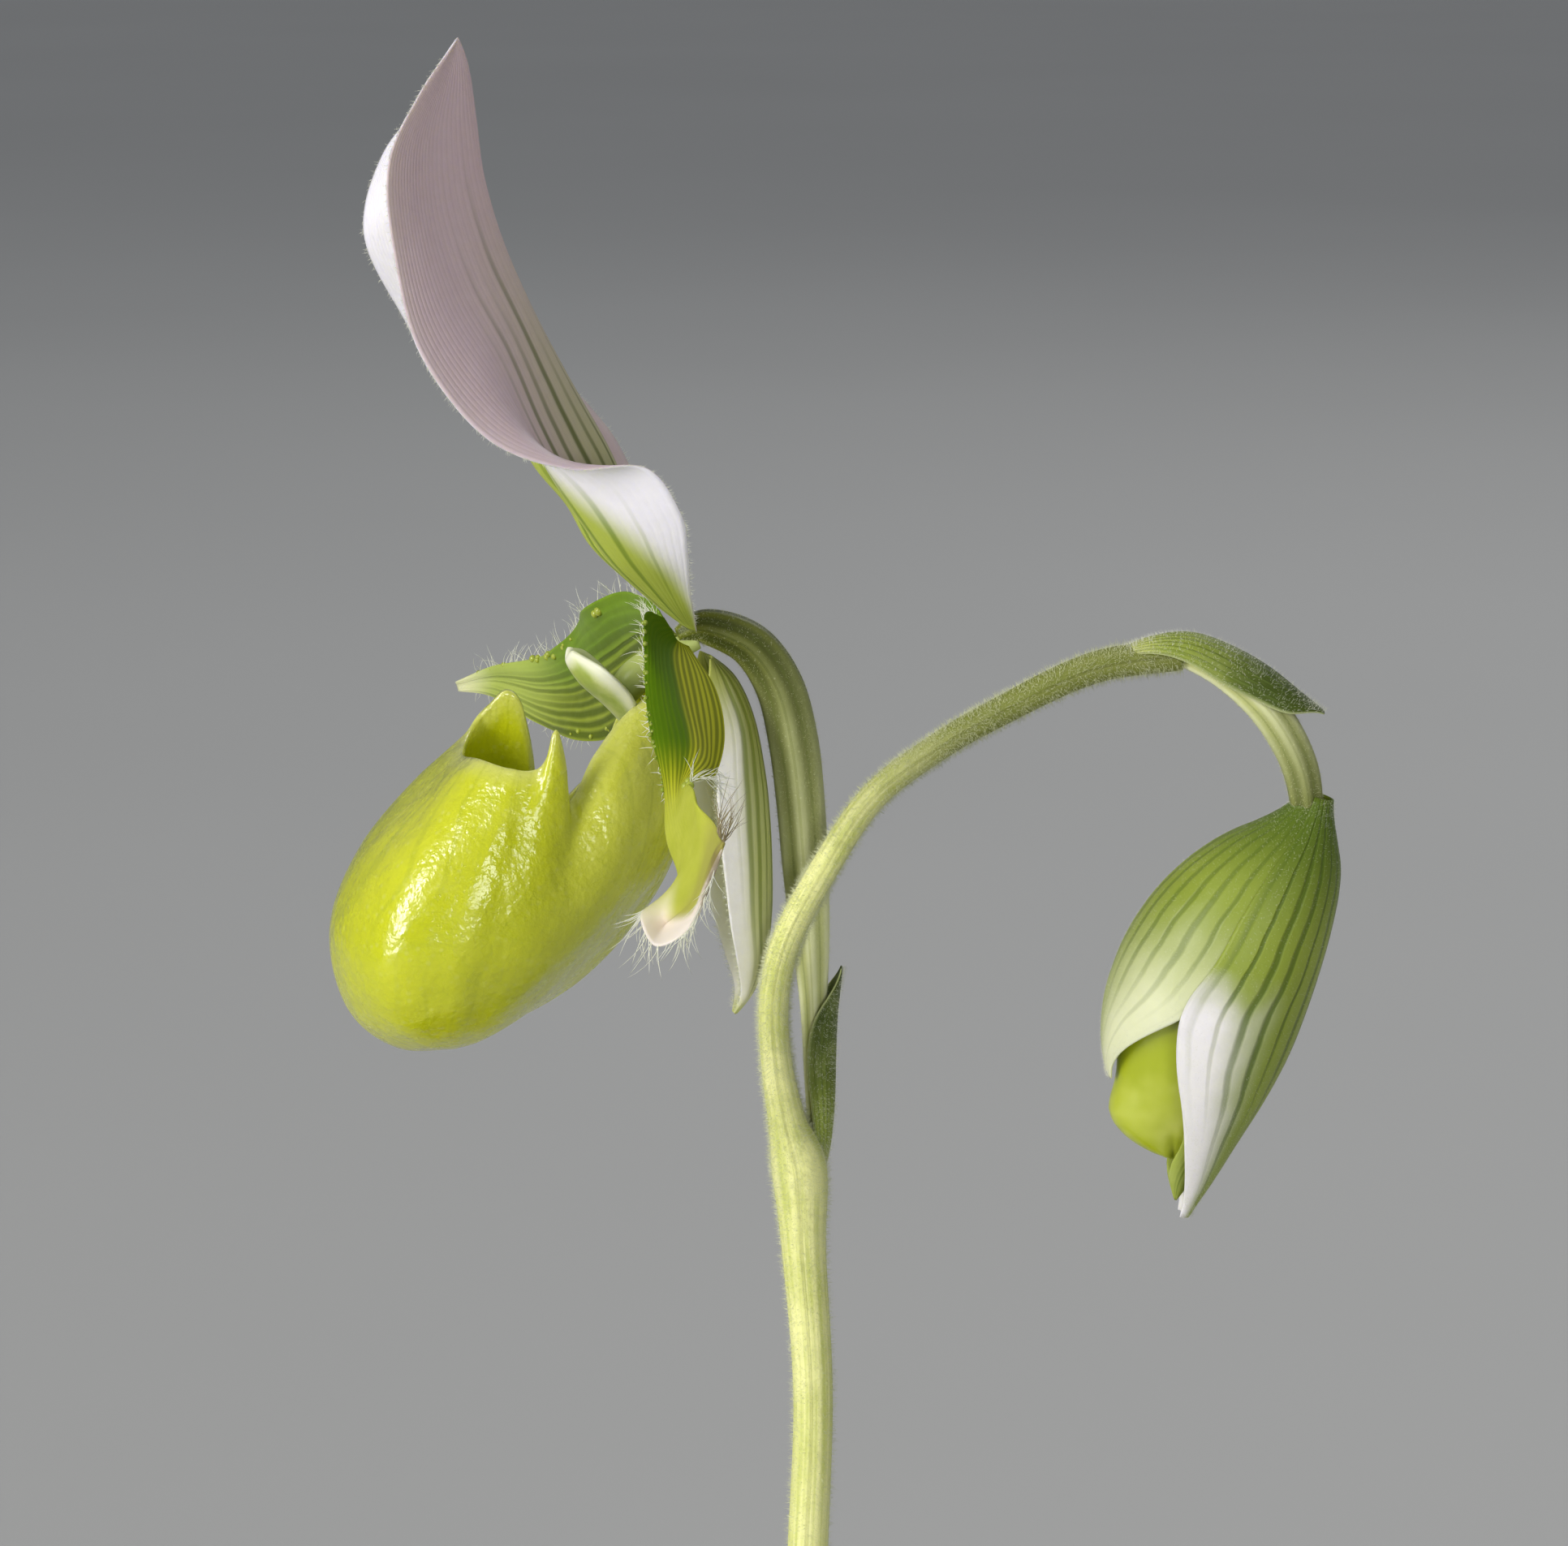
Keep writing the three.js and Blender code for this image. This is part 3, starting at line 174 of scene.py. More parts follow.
# Slipper: lines from the rim to the lowest point, from the front round to the back
LIP_LOWEST = (20, 0, -33.6)
LIP_LINES = [
    [(18.9, 0, -9.1), (22.6, 0, -12.8), (27.2, 0, -17.4), (29.8, 0, -23.4), (28.7, 0, -29.6),
     (25.0, 0, -33.0)],
    [(18.4, 5.2, -8.4), (21.8, 6.6, -12.6), (25.4, 8, -17.6), (27.4, 8.4, -23.4),
     (26.4, 7.4, -28.7), (23.6, 4.8, -31.9)],
    [(16.4, 7.8, -8.7), (18.6, 9.4, -13.2), (20.9, 10.6, -18.4), (22.2, 10.7, -23.8),
     (22.0, 8.8, -28.6), (21.2, 5.2, -31.9)],
    [(14.5, 8.3, -8.5), (15.9, 9.5, -13.0), (17.5, 10.7, -18.3), (19.0, 10.7, -23.7),
     (19.6, 8.6, -28.3), (19.9, 5.1, -31.7)],
    [(12.9, 8.4, -5.2), (13.7, 9.3, -12.2), (14.8, 10.4, -18.1), (16.2, 10.4, -23.6),
     (17.6, 8.4, -28.0), (18.7, 5.0, -31.5)],
    [(11.9, 8.0, -11.6), (11.7, 8.9, -15.4), (12.2, 9.6, -19.4), (13.6, 9.4, -23.9),
     (15.5, 7.6, -27.6), (17.5, 4.6, -31.2)],
    [(8.9, 4.8, -8.6), (8.0, 7.0, -10.2), (7.4, 8.1, -15), (8.6, 7.8, -20.2),
     (11.6, 6.2, -25.6), (15.5, 3.8, -30.4)],
    [(5.8, 2.9, -5.6), (4.4, 4.7, -7.0), (3.6, 5.5, -11.6), (4.7, 5.4, -17),
     (8.0, 4.6, -23.2), (13.2, 2.8, -29.3)],
    [(2.0, 1.6, -3.3), (1.1, 2.6, -5.2), (0.9, 3.2, -9.6), (2.0, 3.1, -15.4),
     (5.2, 2.6, -21.6), (11.2, 1.6, -28.6)],
    [(1.2, 0, -3.4), (0.4, 0, -6.0), (0.1, 0, -11), (1.2, 0, -17),
     (4.4, 0, -23.0), (10.4, 0, -28.9)],
]
RIGHT_RIM = {
    1: (17.8, -5.2, -8.8), 2: (16.6, -7.9, -7.9), 3: (15.4, -8.3, -6.6), 4: (13.6, -8.0, -5.6),
}
# Pulls on the rim: line number counted round by the left side, shift, and width in lines
RIM_PULLS = [
    (3.5, (-0.4, 0, -0.9), 0.45), (4.5, (-0.45, 0, -0.3), 0.38), (13.5, (-0.9, 0, 0.2), 0.45),
]
# The right side's notch is deeper: share of each line that is cut off, by line number
RIGHT_NOTCH = [(10.2, 0), (11, 0.12), (11.7, 0.28), (12.3, 0.28), (13, 0.12), (13.8, 0)]
COLUMN_POINTS = [
    (-0.7, 0, -0.2), (1.2, 0, -1.0), (3.0, 0, -1.9), (4.6, 0, -3.2), (5.9, 0, -4.9),
]
COLUMN_RADII = [0.8, 1.0, 1.25, 1.45, 1.2]
SHIELD_ROWS = [
    [(4.2, 1.6, -6.6), (4.5, 0.9, -7.1), (4.7, 0, -7.4)],
    [(5.6, 3.3, -3.9), (6.2, 1.9, -4.7), (6.7, 0, -5.2)],
    [(7.9, 3.8, -1.6), (8.5, 2.2, -2.5), (8.9, 0, -3.1)],
    [(9.9, 0.8, -0.5), (10.1, 0.4, -0.8), (10.2, 0, -1.1)],
]

# Thickness of the sheets that dress the solids
LEAF_THICKNESS = 0.9
BRACT_THICKNESS = 0.3
FLOWER_THICKNESS = 0.5
SHIELD_THICKNESS = 0.9
BUD_THICKNESS = 0.45
LIP_THICKNESS = 0.75
LIP_RIM_THICKNESS = 0.4

# Bud: t runs from its top to its tip, angles from the side that faces -Y, -90 at the lip
BUD_TOP = np.array([41.8, -5.0, 308.2])
BUD_TIP = np.array([31.7, -5.0, 274.1])
BUD_FLATNESS = 0.88
BUD_OFFSET = [
    (0, 0), (0.12, 1.6), (0.25, 2.8), (0.39, 3.5), (0.54, 3.7), (0.67, 3.5), (0.8, 2.7),
    (0.9, 1.5), (1, 0.2),
]
BUD_RADIUS = [
    (-0.05, 1.1), (0, 1.7), (0.05, 3.6), (0.12, 5.4), (0.25, 7.1), (0.39, 7.9), (0.54, 7.9),
    (0.67, 6.9), (0.8, 4.9), (0.9, 2.9), (1, 0.6),
]
BUD_BULGE = [
    (0, 0), (0.5, 0.6), (0.62, 0.9), (0.7, 1.1), (0.76, 2.6), (0.85, 6.8), (0.9, 6.8),
]
BUD_BACK_EDGE = [(0, -8), (0.36, -9), (0.47, -19), (0.6, -13), (0.75, 2), (0.9, 12), (1, 20)]
BUD_FRONT_EDGE = [(0, 3), (0.36, 2), (0.47, -8), (0.54, -26), (0.64, -56), (0.74, -84), (1, -86)]
BUD_BACK_RISE = 0.3
BUD_PETAL_DEPTH = 1.3
BUD_LIP_DEPTH = 2.1
BUD_PETAL_EDGES = ([(0, 8), (0.86, 8), (0.92, -42), (1, -46)], [(0, 75), (1, 75)])


# Curves and surfaces

def along(stations, t):
    """Catmull-Rom values at each t in 0..1, through evenly spaced stations."""
    stations = np.asarray(stations, float)
    t = np.atleast_1d(np.asarray(t, float))
    last = len(stations) - 1
    x = np.clip(t, 0, 1) * last
    k = np.minimum(x.astype(int), last - 1)
    f = (x - k).reshape((-1,) + (1,) * (stations.ndim - 1))
    before = 2 * stations[:1] - stations[1:2]
    after = 2 * stations[-1:] - stations[-2:-1]
    padded = np.concatenate([before, stations, after])
    a, b, c, d = padded[k], padded[k + 1], padded[k + 2], padded[k + 3]
    bend = (2 * a - 5 * b + 4 * c - d) * f ** 2 + (3 * b - a - 3 * c + d) * f ** 3
    return 0.5 * (2 * b + (c - a) * f + bend)


def net(rows, u, v):
    """Points (v, u, 3) of the surface through rows of stations."""
    columns = along(rows, v)
    return along(columns.transpose(1, 0, 2), u).transpose(1, 0, 2)


def mirrored(rows):
    """Rows from one edge to the midrib, completed by reflection in y = 0."""
    rows = np.asarray(rows, float)
    other = rows[:, -2::-1] * (1, -1, 1)
    return np.concatenate([rows, other], axis=1)


def soft(pairs, t):
    """Smooth reading of a graph: the mean of a short stretch round t."""
    at, value = zip(*pairs)
    return sum(np.interp(t + k * 0.025, at, value) for k in range(-2, 3)) / 5


def smoothstep(x, low, high):
    """0 at low to 1 at high; low may be above high."""
    f = np.clip((x - low) / (high - low), 0, 1)
    return f * f * (3 - 2 * f)


def unit(vectors):
    return vectors / np.maximum(np.linalg.norm(vectors, axis=-1, keepdims=True), 1e-9)


def normals(points, periodic=False):
    """Unit normals of a grid of points (v, u, 3)."""
    if periodic:
        across = np.roll(points, -1, axis=1) - np.roll(points, 1, axis=1)
    else:
        across = np.gradient(points, axis=1)
    down = np.gradient(points, axis=0)
    return unit(np.cross(across, down))


def spine(points, s):
    """Place, direction, front side and out side at each s along a line of growth."""
    here = along(points, s)
    ahead = unit(along(points, s + 0.005) - along(points, s - 0.005))
    front = unit(ahead * ahead[:, 1:2] - (0.0, 1.0, 0.0))
    return here, ahead, front, np.cross(ahead, front)


def around(points, s, angle, radius):
    """Points (s, angle, 3) at a radius round a spine; angle and radius may be grids."""
    here, _, front, out = spine(points, s)
    turn = np.broadcast_to(angle, (len(s), np.shape(angle)[-1]))[..., None]
    reach = np.broadcast_to(radius, turn.shape[:2])[..., None]
    return here[:, None] + reach * (front[:, None] * np.cos(turn) + out[:, None] * np.sin(turn))


def turned(points, angle):
    """Points turned about Z."""
    cosine, sine = math.cos(angle), math.sin(angle)
    return points @ np.array([[cosine, sine, 0], [-sine, cosine, 0], [0, 0, 1]])


def in_flower(points):
    """Points of the flower's own frame, in the plant's frame."""
    return turned(points, FLOWER_TURN) + FLOWER_ORIGIN


# Meshes

def make_object(name, points, faces, uv=None, fields=None):
    """Smooth mesh object from points in millimetres. faces is a list of index arrays,
    uv has one row per point and fields maps a name to one number per point."""
    mesh = bpy.data.meshes.new(name)
    points = np.asarray(points, np.float32).reshape(-1, 3) * MM
    corners = np.concatenate([face.ravel() for face in faces]).astype(np.int32)
    sizes = np.concatenate([np.full(len(face), face.shape[1]) for face in faces])
    starts = np.concatenate([[0], np.cumsum(sizes)[:-1]]).astype(np.int32)
    mesh.vertices.add(len(points))
    mesh.vertices.foreach_set("co", points.ravel())
    mesh.loops.add(len(corners))
    mesh.loops.foreach_set("vertex_index", corners)
    mesh.polygons.add(len(sizes))
    mesh.polygons.foreach_set("loop_start", starts)
    mesh.update(calc_edges=True)
    if uv is not None:
        layer = mesh.uv_layers.new(name="UVMap")
        flat = np.asarray(uv, np.float32).reshape(-1, 2)[corners]
        layer.data.foreach_set("uv", flat.ravel())
    for field, values in (fields or {}).items():
        attribute = mesh.attributes.new(field, "FLOAT", "POINT")
        attribute.data.foreach_set("value", np.asarray(values, np.float32).ravel())
    mesh.validate()
    mesh.shade_smooth()
    thing = bpy.data.objects.new(name, mesh)
    bpy.context.scene.collection.objects.link(thing)
    return thing


def grid_faces(rows, columns, start=0, wrap=False, flip=False):
    """Quads of a grid of points, row after row; wrap joins the last column to the first."""
    j = np.arange(rows - 1)[:, None]
    i = np.arange(columns if wrap else columns - 1)[None, :]
    a = start + j * columns + i
    b = start + j * columns + (i + 1) % columns
    quads = np.stack([a, b, b + columns, a + columns], axis=-1).reshape(-1, 4)
    return quads[:, ::-1] if flip else quads


def blade(name, points, thickness, face=1):
    """Closed thin sheet round a grid of middle points, thinner towards its edges. The field
    "face" is 1 on the side that face chooses: 1 for the grid's normals, -1 for the other."""
    rows, columns = points.shape[:2]
    u = np.linspace(0, 1, columns)[None, :]
    v = np.linspace(0, 1, rows)[:, None]
    edge = np.maximum(np.abs(2 * u - 1) ** 6, np.abs(2 * v - 1) ** 14)
    depth = (thickness * (1 - 0.72 * edge))[..., None]
    normal = normals(points)
    front = points + normal * depth / 2
    back = points - normal * depth / 2
    count = rows * columns
    faces = [grid_faces(rows, columns), grid_faces(rows, columns, count, flip=True)]
    index = np.arange(count).reshape(rows, columns)
    border = np.concatenate([
        index[0, :-1], index[:-1, -1], index[-1, :0:-1], index[:0:-1, 0],
    ])
    after = np.roll(border, -1)
    faces.append(np.stack([border, border + count, after + count, after], axis=-1))
    uv = np.stack(np.broadcast_arrays(u, v), axis=-1).reshape(-1, 2)
    shown = np.full(count, (1 + face) / 2)
    both = np.concatenate([front.reshape(-1, 3), back.reshape(-1, 3)])
    fields = {"face": np.concatenate([shown, 1 - shown])}
    return make_object(name, both, faces, np.concatenate([uv, uv]), fields)


def closed(rings, ends=None):
    """Points and faces of a solid from rings of points (ring, side, 3). A fan closes each
    end, round the points given as ends or else round the middle of the last ring."""
    count, sides = rings.shape[:2]
    if ends is None:
        ends = (rings[0].mean(axis=0), rings[-1].mean(axis=0))
    i = np.arange(sides)
    after = (i + 1) % sides
    total = count * sides
    last = total - sides
    fans = np.array([
        [after, i, np.full(sides, total)],
        [last + i, last + after, np.full(sides, total + 1)],
    ])
    faces = [grid_faces(count, sides, wrap=True), fans.transpose(0, 2, 1).reshape(-1, 3)]
    return np.concatenate([rings.reshape(-1, 3), ends]), faces


def joined(shapes):
    """Points and faces of many small shapes, as those of one."""
    starts = np.cumsum([0] + [len(points) for points, _ in shapes[:-1]])
    moved = [[part + start for part in faces] for (_, faces), start in zip(shapes, starts)]
    return np.concatenate([points for points, _ in shapes]), [np.concatenate(kind) for kind in zip(*moved)]


def tube(name, rings):
    """Closed solid from rings of points, with u round it and v along it."""
    count, sides = rings.shape[:2]
    grid = np.meshgrid(np.arange(sides) / sides, np.linspace(0, 1, count))
    uv = np.concatenate([np.stack(grid, axis=-1).reshape(-1, 2), [(0.5, 0), (0.5, 1)]])
    return make_object(name, *closed(rings), uv)


def lathe(name, outline, sides):
    """Solid of revolution from an outline of (radius, height) that starts and ends on the axis."""
    outline = np.asarray(outline, float)
    angle = np.arange(sides) / sides * TURN
    radius, height = outline[1:-1, :1], outline[1:-1, 1:]
    rings = np.stack([radius * np.cos(angle), radius * np.sin(angle), height + 0 * angle], axis=-1)
    ends = [(0, 0, outline[0, 1]), (0, 0, outline[-1, 1])]
    return make_object(name, *closed(rings, ends))


def rounded(corners, radius, steps=5):
    """Outline whose inner corners are rounded; each corner is (radius, height)."""
    corners = np.asarray(corners, float)
    path = [corners[0]]
    for before, corner, after in zip(corners[:-2], corners[1:-1], corners[2:]):
        to_before = before - corner
        to_after = after - corner
        reach = min(radius, 0.45 * np.linalg.norm(to_before), 0.45 * np.linalg.norm(to_after))
        start = corner + unit(to_before) * reach
        end = corner + unit(to_after) * reach
        for f in np.linspace(0, 1, steps):
            path.append((1 - f) ** 2 * start + 2 * f * (1 - f) * corner + f ** 2 * end)
    path.append(corners[-1])
    return np.array(path)


def hair_coat(name, roots, directions, lengths, radius, draws, rings=2, curl=0.35):
    """One mesh of fine three-sided tapered hairs, each a little bent."""
    ahead = unit(directions)
    helper = np.where(np.abs(ahead[:, 2:3]) < 0.9, (0.0, 0.0, 1.0), (1.0, 0.0, 0.0))
    side = unit(np.cross(ahead, helper))
    up = np.cross(ahead, side)
    way = draws.uniform(0, TURN, (len(roots), 1))
    bend = (side * np.cos(way) + up * np.sin(way)) * curl
    size = lengths[:, None]
    points = []
    for f in np.arange(rings) / rings:
        centre = roots + size * (ahead * f + bend * f * f)
        for turn in np.arange(3) / 3 * TURN:
            arm = side * math.cos(turn) + up * math.sin(turn)
            points.append(centre + arm * radius * (1 - 0.6 * f))
    points.append(roots + size * (ahead + bend))
    each = len(points)
    last = each - 4
    sides = grid_faces(rings, 3, wrap=True)
    tips = np.array([(last + corner, last + (corner + 1) % 3, each - 1) for corner in range(3)])
    start = np.arange(len(roots))[:, None, None] * each
    faces = [(start + kind).reshape(-1, kind.shape[1]) for kind in (sides, tips) if len(kind)]
    return make_object(name, np.stack(points, axis=1), faces)


# Materials

class Value:
    """Output of a node. Sums, products and most methods add the nodes that work them out."""

    def __init__(self, paint, socket):
        self.paint = paint
        self.socket = socket

    def __add__(self, other):
        return self.paint.math("ADD", self, other)

    def __sub__(self, number):
        return self + -number

    def __mul__(self, other):
        return self.paint.math("MULTIPLY", self, other)

    def band(self, low, high, to_low=0.0, to_high=1.0):
        """Smooth step from low to high; low may be above high."""
        if low > high:
            low, high, to_low, to_high = high, low, to_high, to_low
        spans = {"From Min": low, "From Max": high, "To Min": to_low, "To Max": to_high}
        return self.paint.node("MapRange", {"Value": self, **spans}, interpolation_type="SMOOTHSTEP")

    def parts(self, kind="XYZ"):
        """The three numbers of a vector or a colour."""
        node = self.paint.tree.nodes.new(f"ShaderNodeSeparate{kind}")
        self.paint.put(node, 0, self)
        return [Value(self.paint, socket) for socket in node.outputs]

    def noise(self, scale, detail=3.0, roughness=0.5):
        look = {"Scale": scale, "Detail": detail, "Roughness": roughness}
        return self.paint.node("TexNoise", {"Vector": self, **look}, "Fac")

    def cells(self, scale, feature="F1", output="Distance"):
        return self.paint.node("TexVoronoi", {"Vector": self, "Scale": scale}, output, feature=feature)

    def chance(self):
        """A number from 0 to 1 drawn for each different value."""
        return self.paint.node("TexWhiteNoise", {"W": self}, "Value", noise_dimensions="1D")

    def beside(self):
        """0 on the midrib to 1 on either edge, for a value of 0 to 1 across a sheet."""
        return self.paint.math("ABSOLUTE", self * 2.0 - 1.0)

    def veins(self, count, width):
        """1 on each of count evenly spaced lines across u, falling to 0 beside them."""
        off = self.paint.math("ABSOLUTE", self.paint.math("FRACT", self * count) - 0.5)
        return self.paint.math("DIVIDE", off, width).band(1.0, 0.25)


class Paint:
    """Node graph of a material or the sky. Most methods add a node and return its output."""

    def __init__(self, name, kind="materials"):
        self.owner = getattr(bpy.data, kind).new(name)
        self.owner.use_nodes = True
        self.tree = self.owner.node_tree

    def put(self, node, name, value):
        """Links or sets the input of a node that has this name or number."""
        socket = node.inputs[name]
        if isinstance(value, Value):
            self.tree.links.new(value.socket, socket)
        elif isinstance(value, (int, float)):
            socket.default_value = value
        else:
            socket.default_value = (*value, 1.0)[:len(socket.default_value)]

    def node(self, kind, inputs, output=0, **settings):
        node = self.tree.nodes.new(f"ShaderNode{kind}")
        for name, value in settings.items():
            setattr(node, name, value)
        for name, value in inputs.items():
            self.put(node, name, value)
        return Value(self, node.outputs[output])

    def math(self, operation, a, b=0.0):
        return self.node("Math", {0: a, 1: b}, operation=operation)

    def most(self, a, b):
        return self.math("MAXIMUM", a, b)

    def mix(self, share, a, b):
        return self.node("Mix", {0: share, 6: a, 7: b}, 2, data_type="RGBA")

    def coats(self, ground, *coats):
        """A ground colour under coats of (share, colour), the last on top."""
        for share, colour in coats:
            ground = self.mix(share, ground, colour)
        return ground

    def uv(self):
        return self.node("UVMap", {}, uv_map="UVMap").parts()[:2]

    def place(self, kind="Object"):
        return self.node("TexCoord", {}, kind)

    def noise(self, *look):
        return self.place().noise(*look)

    def vector(self, *numbers):
        return self.node("CombineXYZ", dict(enumerate(numbers)))

    def field(self, name):
        return self.node("Attribute", {}, "Fac", attribute_name=name)

    def streaks(self, u, v, *detail):
        return self.vector(u, v).noise(1.0, *detail)

    def stripes(self, u, v, count, reach, width, wander=0.012):
        """Lines along v, each a little different in width and in how far it reaches."""
        across = u + (self.streaks(u * 5.0, v * 7.0, 2.0) - 0.5) * wander
        line = self.math("FLOOR", across * count)
        thick = (line.chance() * 0.7 + 0.6) * width
        luck = (line + 40.0).chance() * 0.5 + 0.72
        spent = self.math("DIVIDE", v, luck * reach)
        return across.veins(count, thick) * spent.band(1.0, 0.45)

    def finish(self, colour, roughness, height=None, relief=0.0, **inputs):
        """Wires the shader. relief is the bump's depth in millimetres."""
        inputs = {name.replace("_", " "): value for name, value in inputs.items()}
        inputs.update({"Base Color": colour, "Roughness": roughness})
        if height is not None:
            bump = self.node("Bump", {"Height": height, "Strength": 1.0, "Distance": relief * MM})
            inputs.update({"Normal": bump, "Coat Normal": bump})
        for name, value in inputs.items():
            self.put(self.tree.nodes["Principled BSDF"], name, value)
        return self.owner


def living(depth=0.9, weight=0.35, shine=0.25):
    """Sockets that let a little light through plant tissue; depth in millimetres."""
    return {
        "Specular_IOR_Level": shine,
        "Subsurface_Weight": weight,
        "Subsurface_Scale": depth * MM,
        "Subsurface_Radius": (1.0, 1.0, 0.45),
    }


def dorsal_paint():
    """White inside; outside painted greyer as shade, with green stripes that fan up from the midrib."""
    paint = Paint("dorsal_sepal")
    u, v = paint.uv()
    side = u.beside()
    grain = paint.noise(1100.0)
    tone = grain * 0.5 + paint.streaks(u * 60.0, v * 3.0, 2.0) * 0.5
    zone = side.band(0.58, 0.12) * v.band(0.78, 0.25)
    lines = paint.stripes(u, v, 27, 0.74, 0.26) * side.band(0.6, 0.36)
    # Outer face: the sepal's pinkish white, painted darker as shade; the inside keeps the white.
    outer = paint.coats(
        (0.55, 0.42, 0.46),
        (tone, (0.66, 0.53, 0.57)),
        (zone * 0.75, (0.38, 0.42, 0.1)),
        (lines * 0.85, (0.1, 0.125, 0.015)),
    )
    zone = (side + v * 1.25).band(1.16, 0.94) * v.band(0.5, 0.36)
    lines = paint.stripes(u, v, 15, 0.46, 0.15) * side.band(0.95, 0.6)
    inner = paint.coats(
        (0.86, 0.83, 0.86),
        (grain, (0.93, 0.9, 0.93)),
        (zone * 0.95, (0.38, 0.45, 0.035)),
        (lines * 0.8, (0.15, 0.23, 0.02)),
    )
    colour = paint.mix(paint.field("face"), outer, inner)
    height = u.veins(54, 0.5) * 0.35 + paint.noise(2500.0) * 0.5
    return paint.finish(colour, 0.4, height, 0.05, **living(1.2, 0.4))


def synsepalum_paint():
    """White margins, green striped middle."""
    paint = Paint("synsepalum")
    u, v = paint.uv()
    side = u.beside()
    grain = paint.noise(1000.0)
    middle = paint.most(side.band(0.8, 0.5), v.band(0.34, 0.06))
    zone = paint.most(middle * v.band(1.15, 0.5), v.band(0.88, 1.0))
    green = paint.mix(v.band(0.2, 0.45), (0.3, 0.33, 0.02), (0.5, 0.54, 0.17))
    lines = paint.stripes(u, v, 13, 1.0, 0.34) * side.band(0.84, 0.6)
    colour = paint.coats(
        (0.83, 0.8, 0.7),
        (grain, (0.91, 0.89, 0.81)),
        (zone * 0.9, green),
        (lines * 0.75, (0.2, 0.25, 0.025)),
    )
    return paint.finish(colour, 0.42, lines * -0.6 + grain * 0.4, 0.09, **living(1.2, 0.4))


def bud_paint(name, count, pale, pale_span, side_span, strength):
    """Folded sepal: green striped top that turns pale lower down, towards its edges."""
    paint = Paint(name)
    u, v = paint.uv()
    side = u.beside()
    grain = paint.noise(1000.0)
    shift = (paint.noise(200.0, 2.0) - 0.5) * 0.16
    low = (v + shift).band(*pale_span) * (side + shift).band(*side_span)
    light = paint.mix(grain, tuple(0.93 * level for level in pale), pale)
    lines = paint.stripes(u, v, count, 1.05, 0.22, 0.03) * side.band(1.0, 0.86)
    lines = lines * low.band(0.2, 1.0, strength, 0.6 * strength)
    colour = paint.coats(
        (0.28, 0.35, 0.045),
        (v.band(0.35, 0.05), (0.1, 0.155, 0.012)),
        (low, light),
        (lines, (0.085, 0.135, 0.01)),
    )
    return paint.finish(colour, 0.42, lines * -0.7 + grain * 0.4, 0.12, **living(1.2, 0.35))


def left_petal_paint():
    """Near petal: smooth dark patch, its own dark green darkened by painted shade, fine stripes, then a
    light blade with a pale curl whose hollow has painted shade.
    """
    paint = Paint("petal_left")
    u, v = paint.uv()
    grain = paint.noise(600.0)
    striped = paint.stripes(u, v, 15, 1.2, 0.44, 0.03) * v.band(0.62, 0.3)
    lined = paint.mix(striped, (0.46, 0.47, 0.02), (0.2, 0.22, 0.008))
    dark_patch_and_shade = u.band(0.6, 0.46) * v.band(0.38, 0.26)
    curl = u.band(0.4, 0.2) * v.band(0.56, 0.68)
    hollow_shade = u.band(0.16, 0.32) * v.band(0.6, 0.74)
    stain = v.band(0.84, 0.95) * grain.band(0.3, 0.6, 0.5, 1.0)
    colour = paint.coats(
        (0.36, 0.4, 0.035),
        (grain, (0.5, 0.53, 0.08)),
        (v.band(0.44, 0.32), lined),
        # Dark patch: the petal's own dark green, painted darker still as shade.
        (dark_patch_and_shade * 0.95, (0.065, 0.145, 0.003)),
        # Painted shade in the hollow of the curl.
        (hollow_shade * 0.7, (0.36, 0.34, 0.08)),
        (curl * 0.9, (0.84, 0.74, 0.68)),
        (stain * 0.8, (0.17, 0.13, 0.06)),
    )
    return paint.finish(colour, 0.6, striped * -0.4 + grain * 0.4, 0.05, **living(1.0, 0.35, 0.03))


def right_petal_paint():
    """Far petal: green above, dark bands along its lower half, pale towards the tip."""
    paint = Paint("petal_right")
    u, v = paint.uv()
    grain = paint.noise(600.0)
    lower = paint.mix(grain, (0.2, 0.26, 0.015), (0.3, 0.36, 0.045))
    lines = paint.stripes(u, v, 11, 1.1, 0.5, 0.05) * u.band(0.15, 0.45, 0.2, 1.0)
    colour = paint.coats(
        (0.135, 0.24, 0.01),
        (grain, (0.19, 0.31, 0.022)),
        (u.band(0.25, 0.6), lower),
        (v.band(0.55, 0.8, 0.0, 0.8), (0.42, 0.5, 0.11)),
        (lines * 0.8, (0.055, 0.085, 0.005)),
        (v.band(0.84, 0.98) * 0.8, (0.74, 0.74, 0.46)),
    )
    return paint.finish(colour, 0.42, lines * -0.8 + grain * 0.5, 0.12, **living(1.0, 0.35))


def bud_petal_paint():
    paint = Paint("bud_petal")
    u, v = paint.uv()
    grain = paint.noise(600.0)
    colour = paint.coats(
        (0.3, 0.36, 0.05),
        (grain, (0.42, 0.48, 0.13)),
        (paint.stripes(u, v, 9, 1.2, 0.4), (0.15, 0.22, 0.02)),
    )
    return paint.finish(colour, 0.38, grain, 0.06, **living(1.0, 0.35))


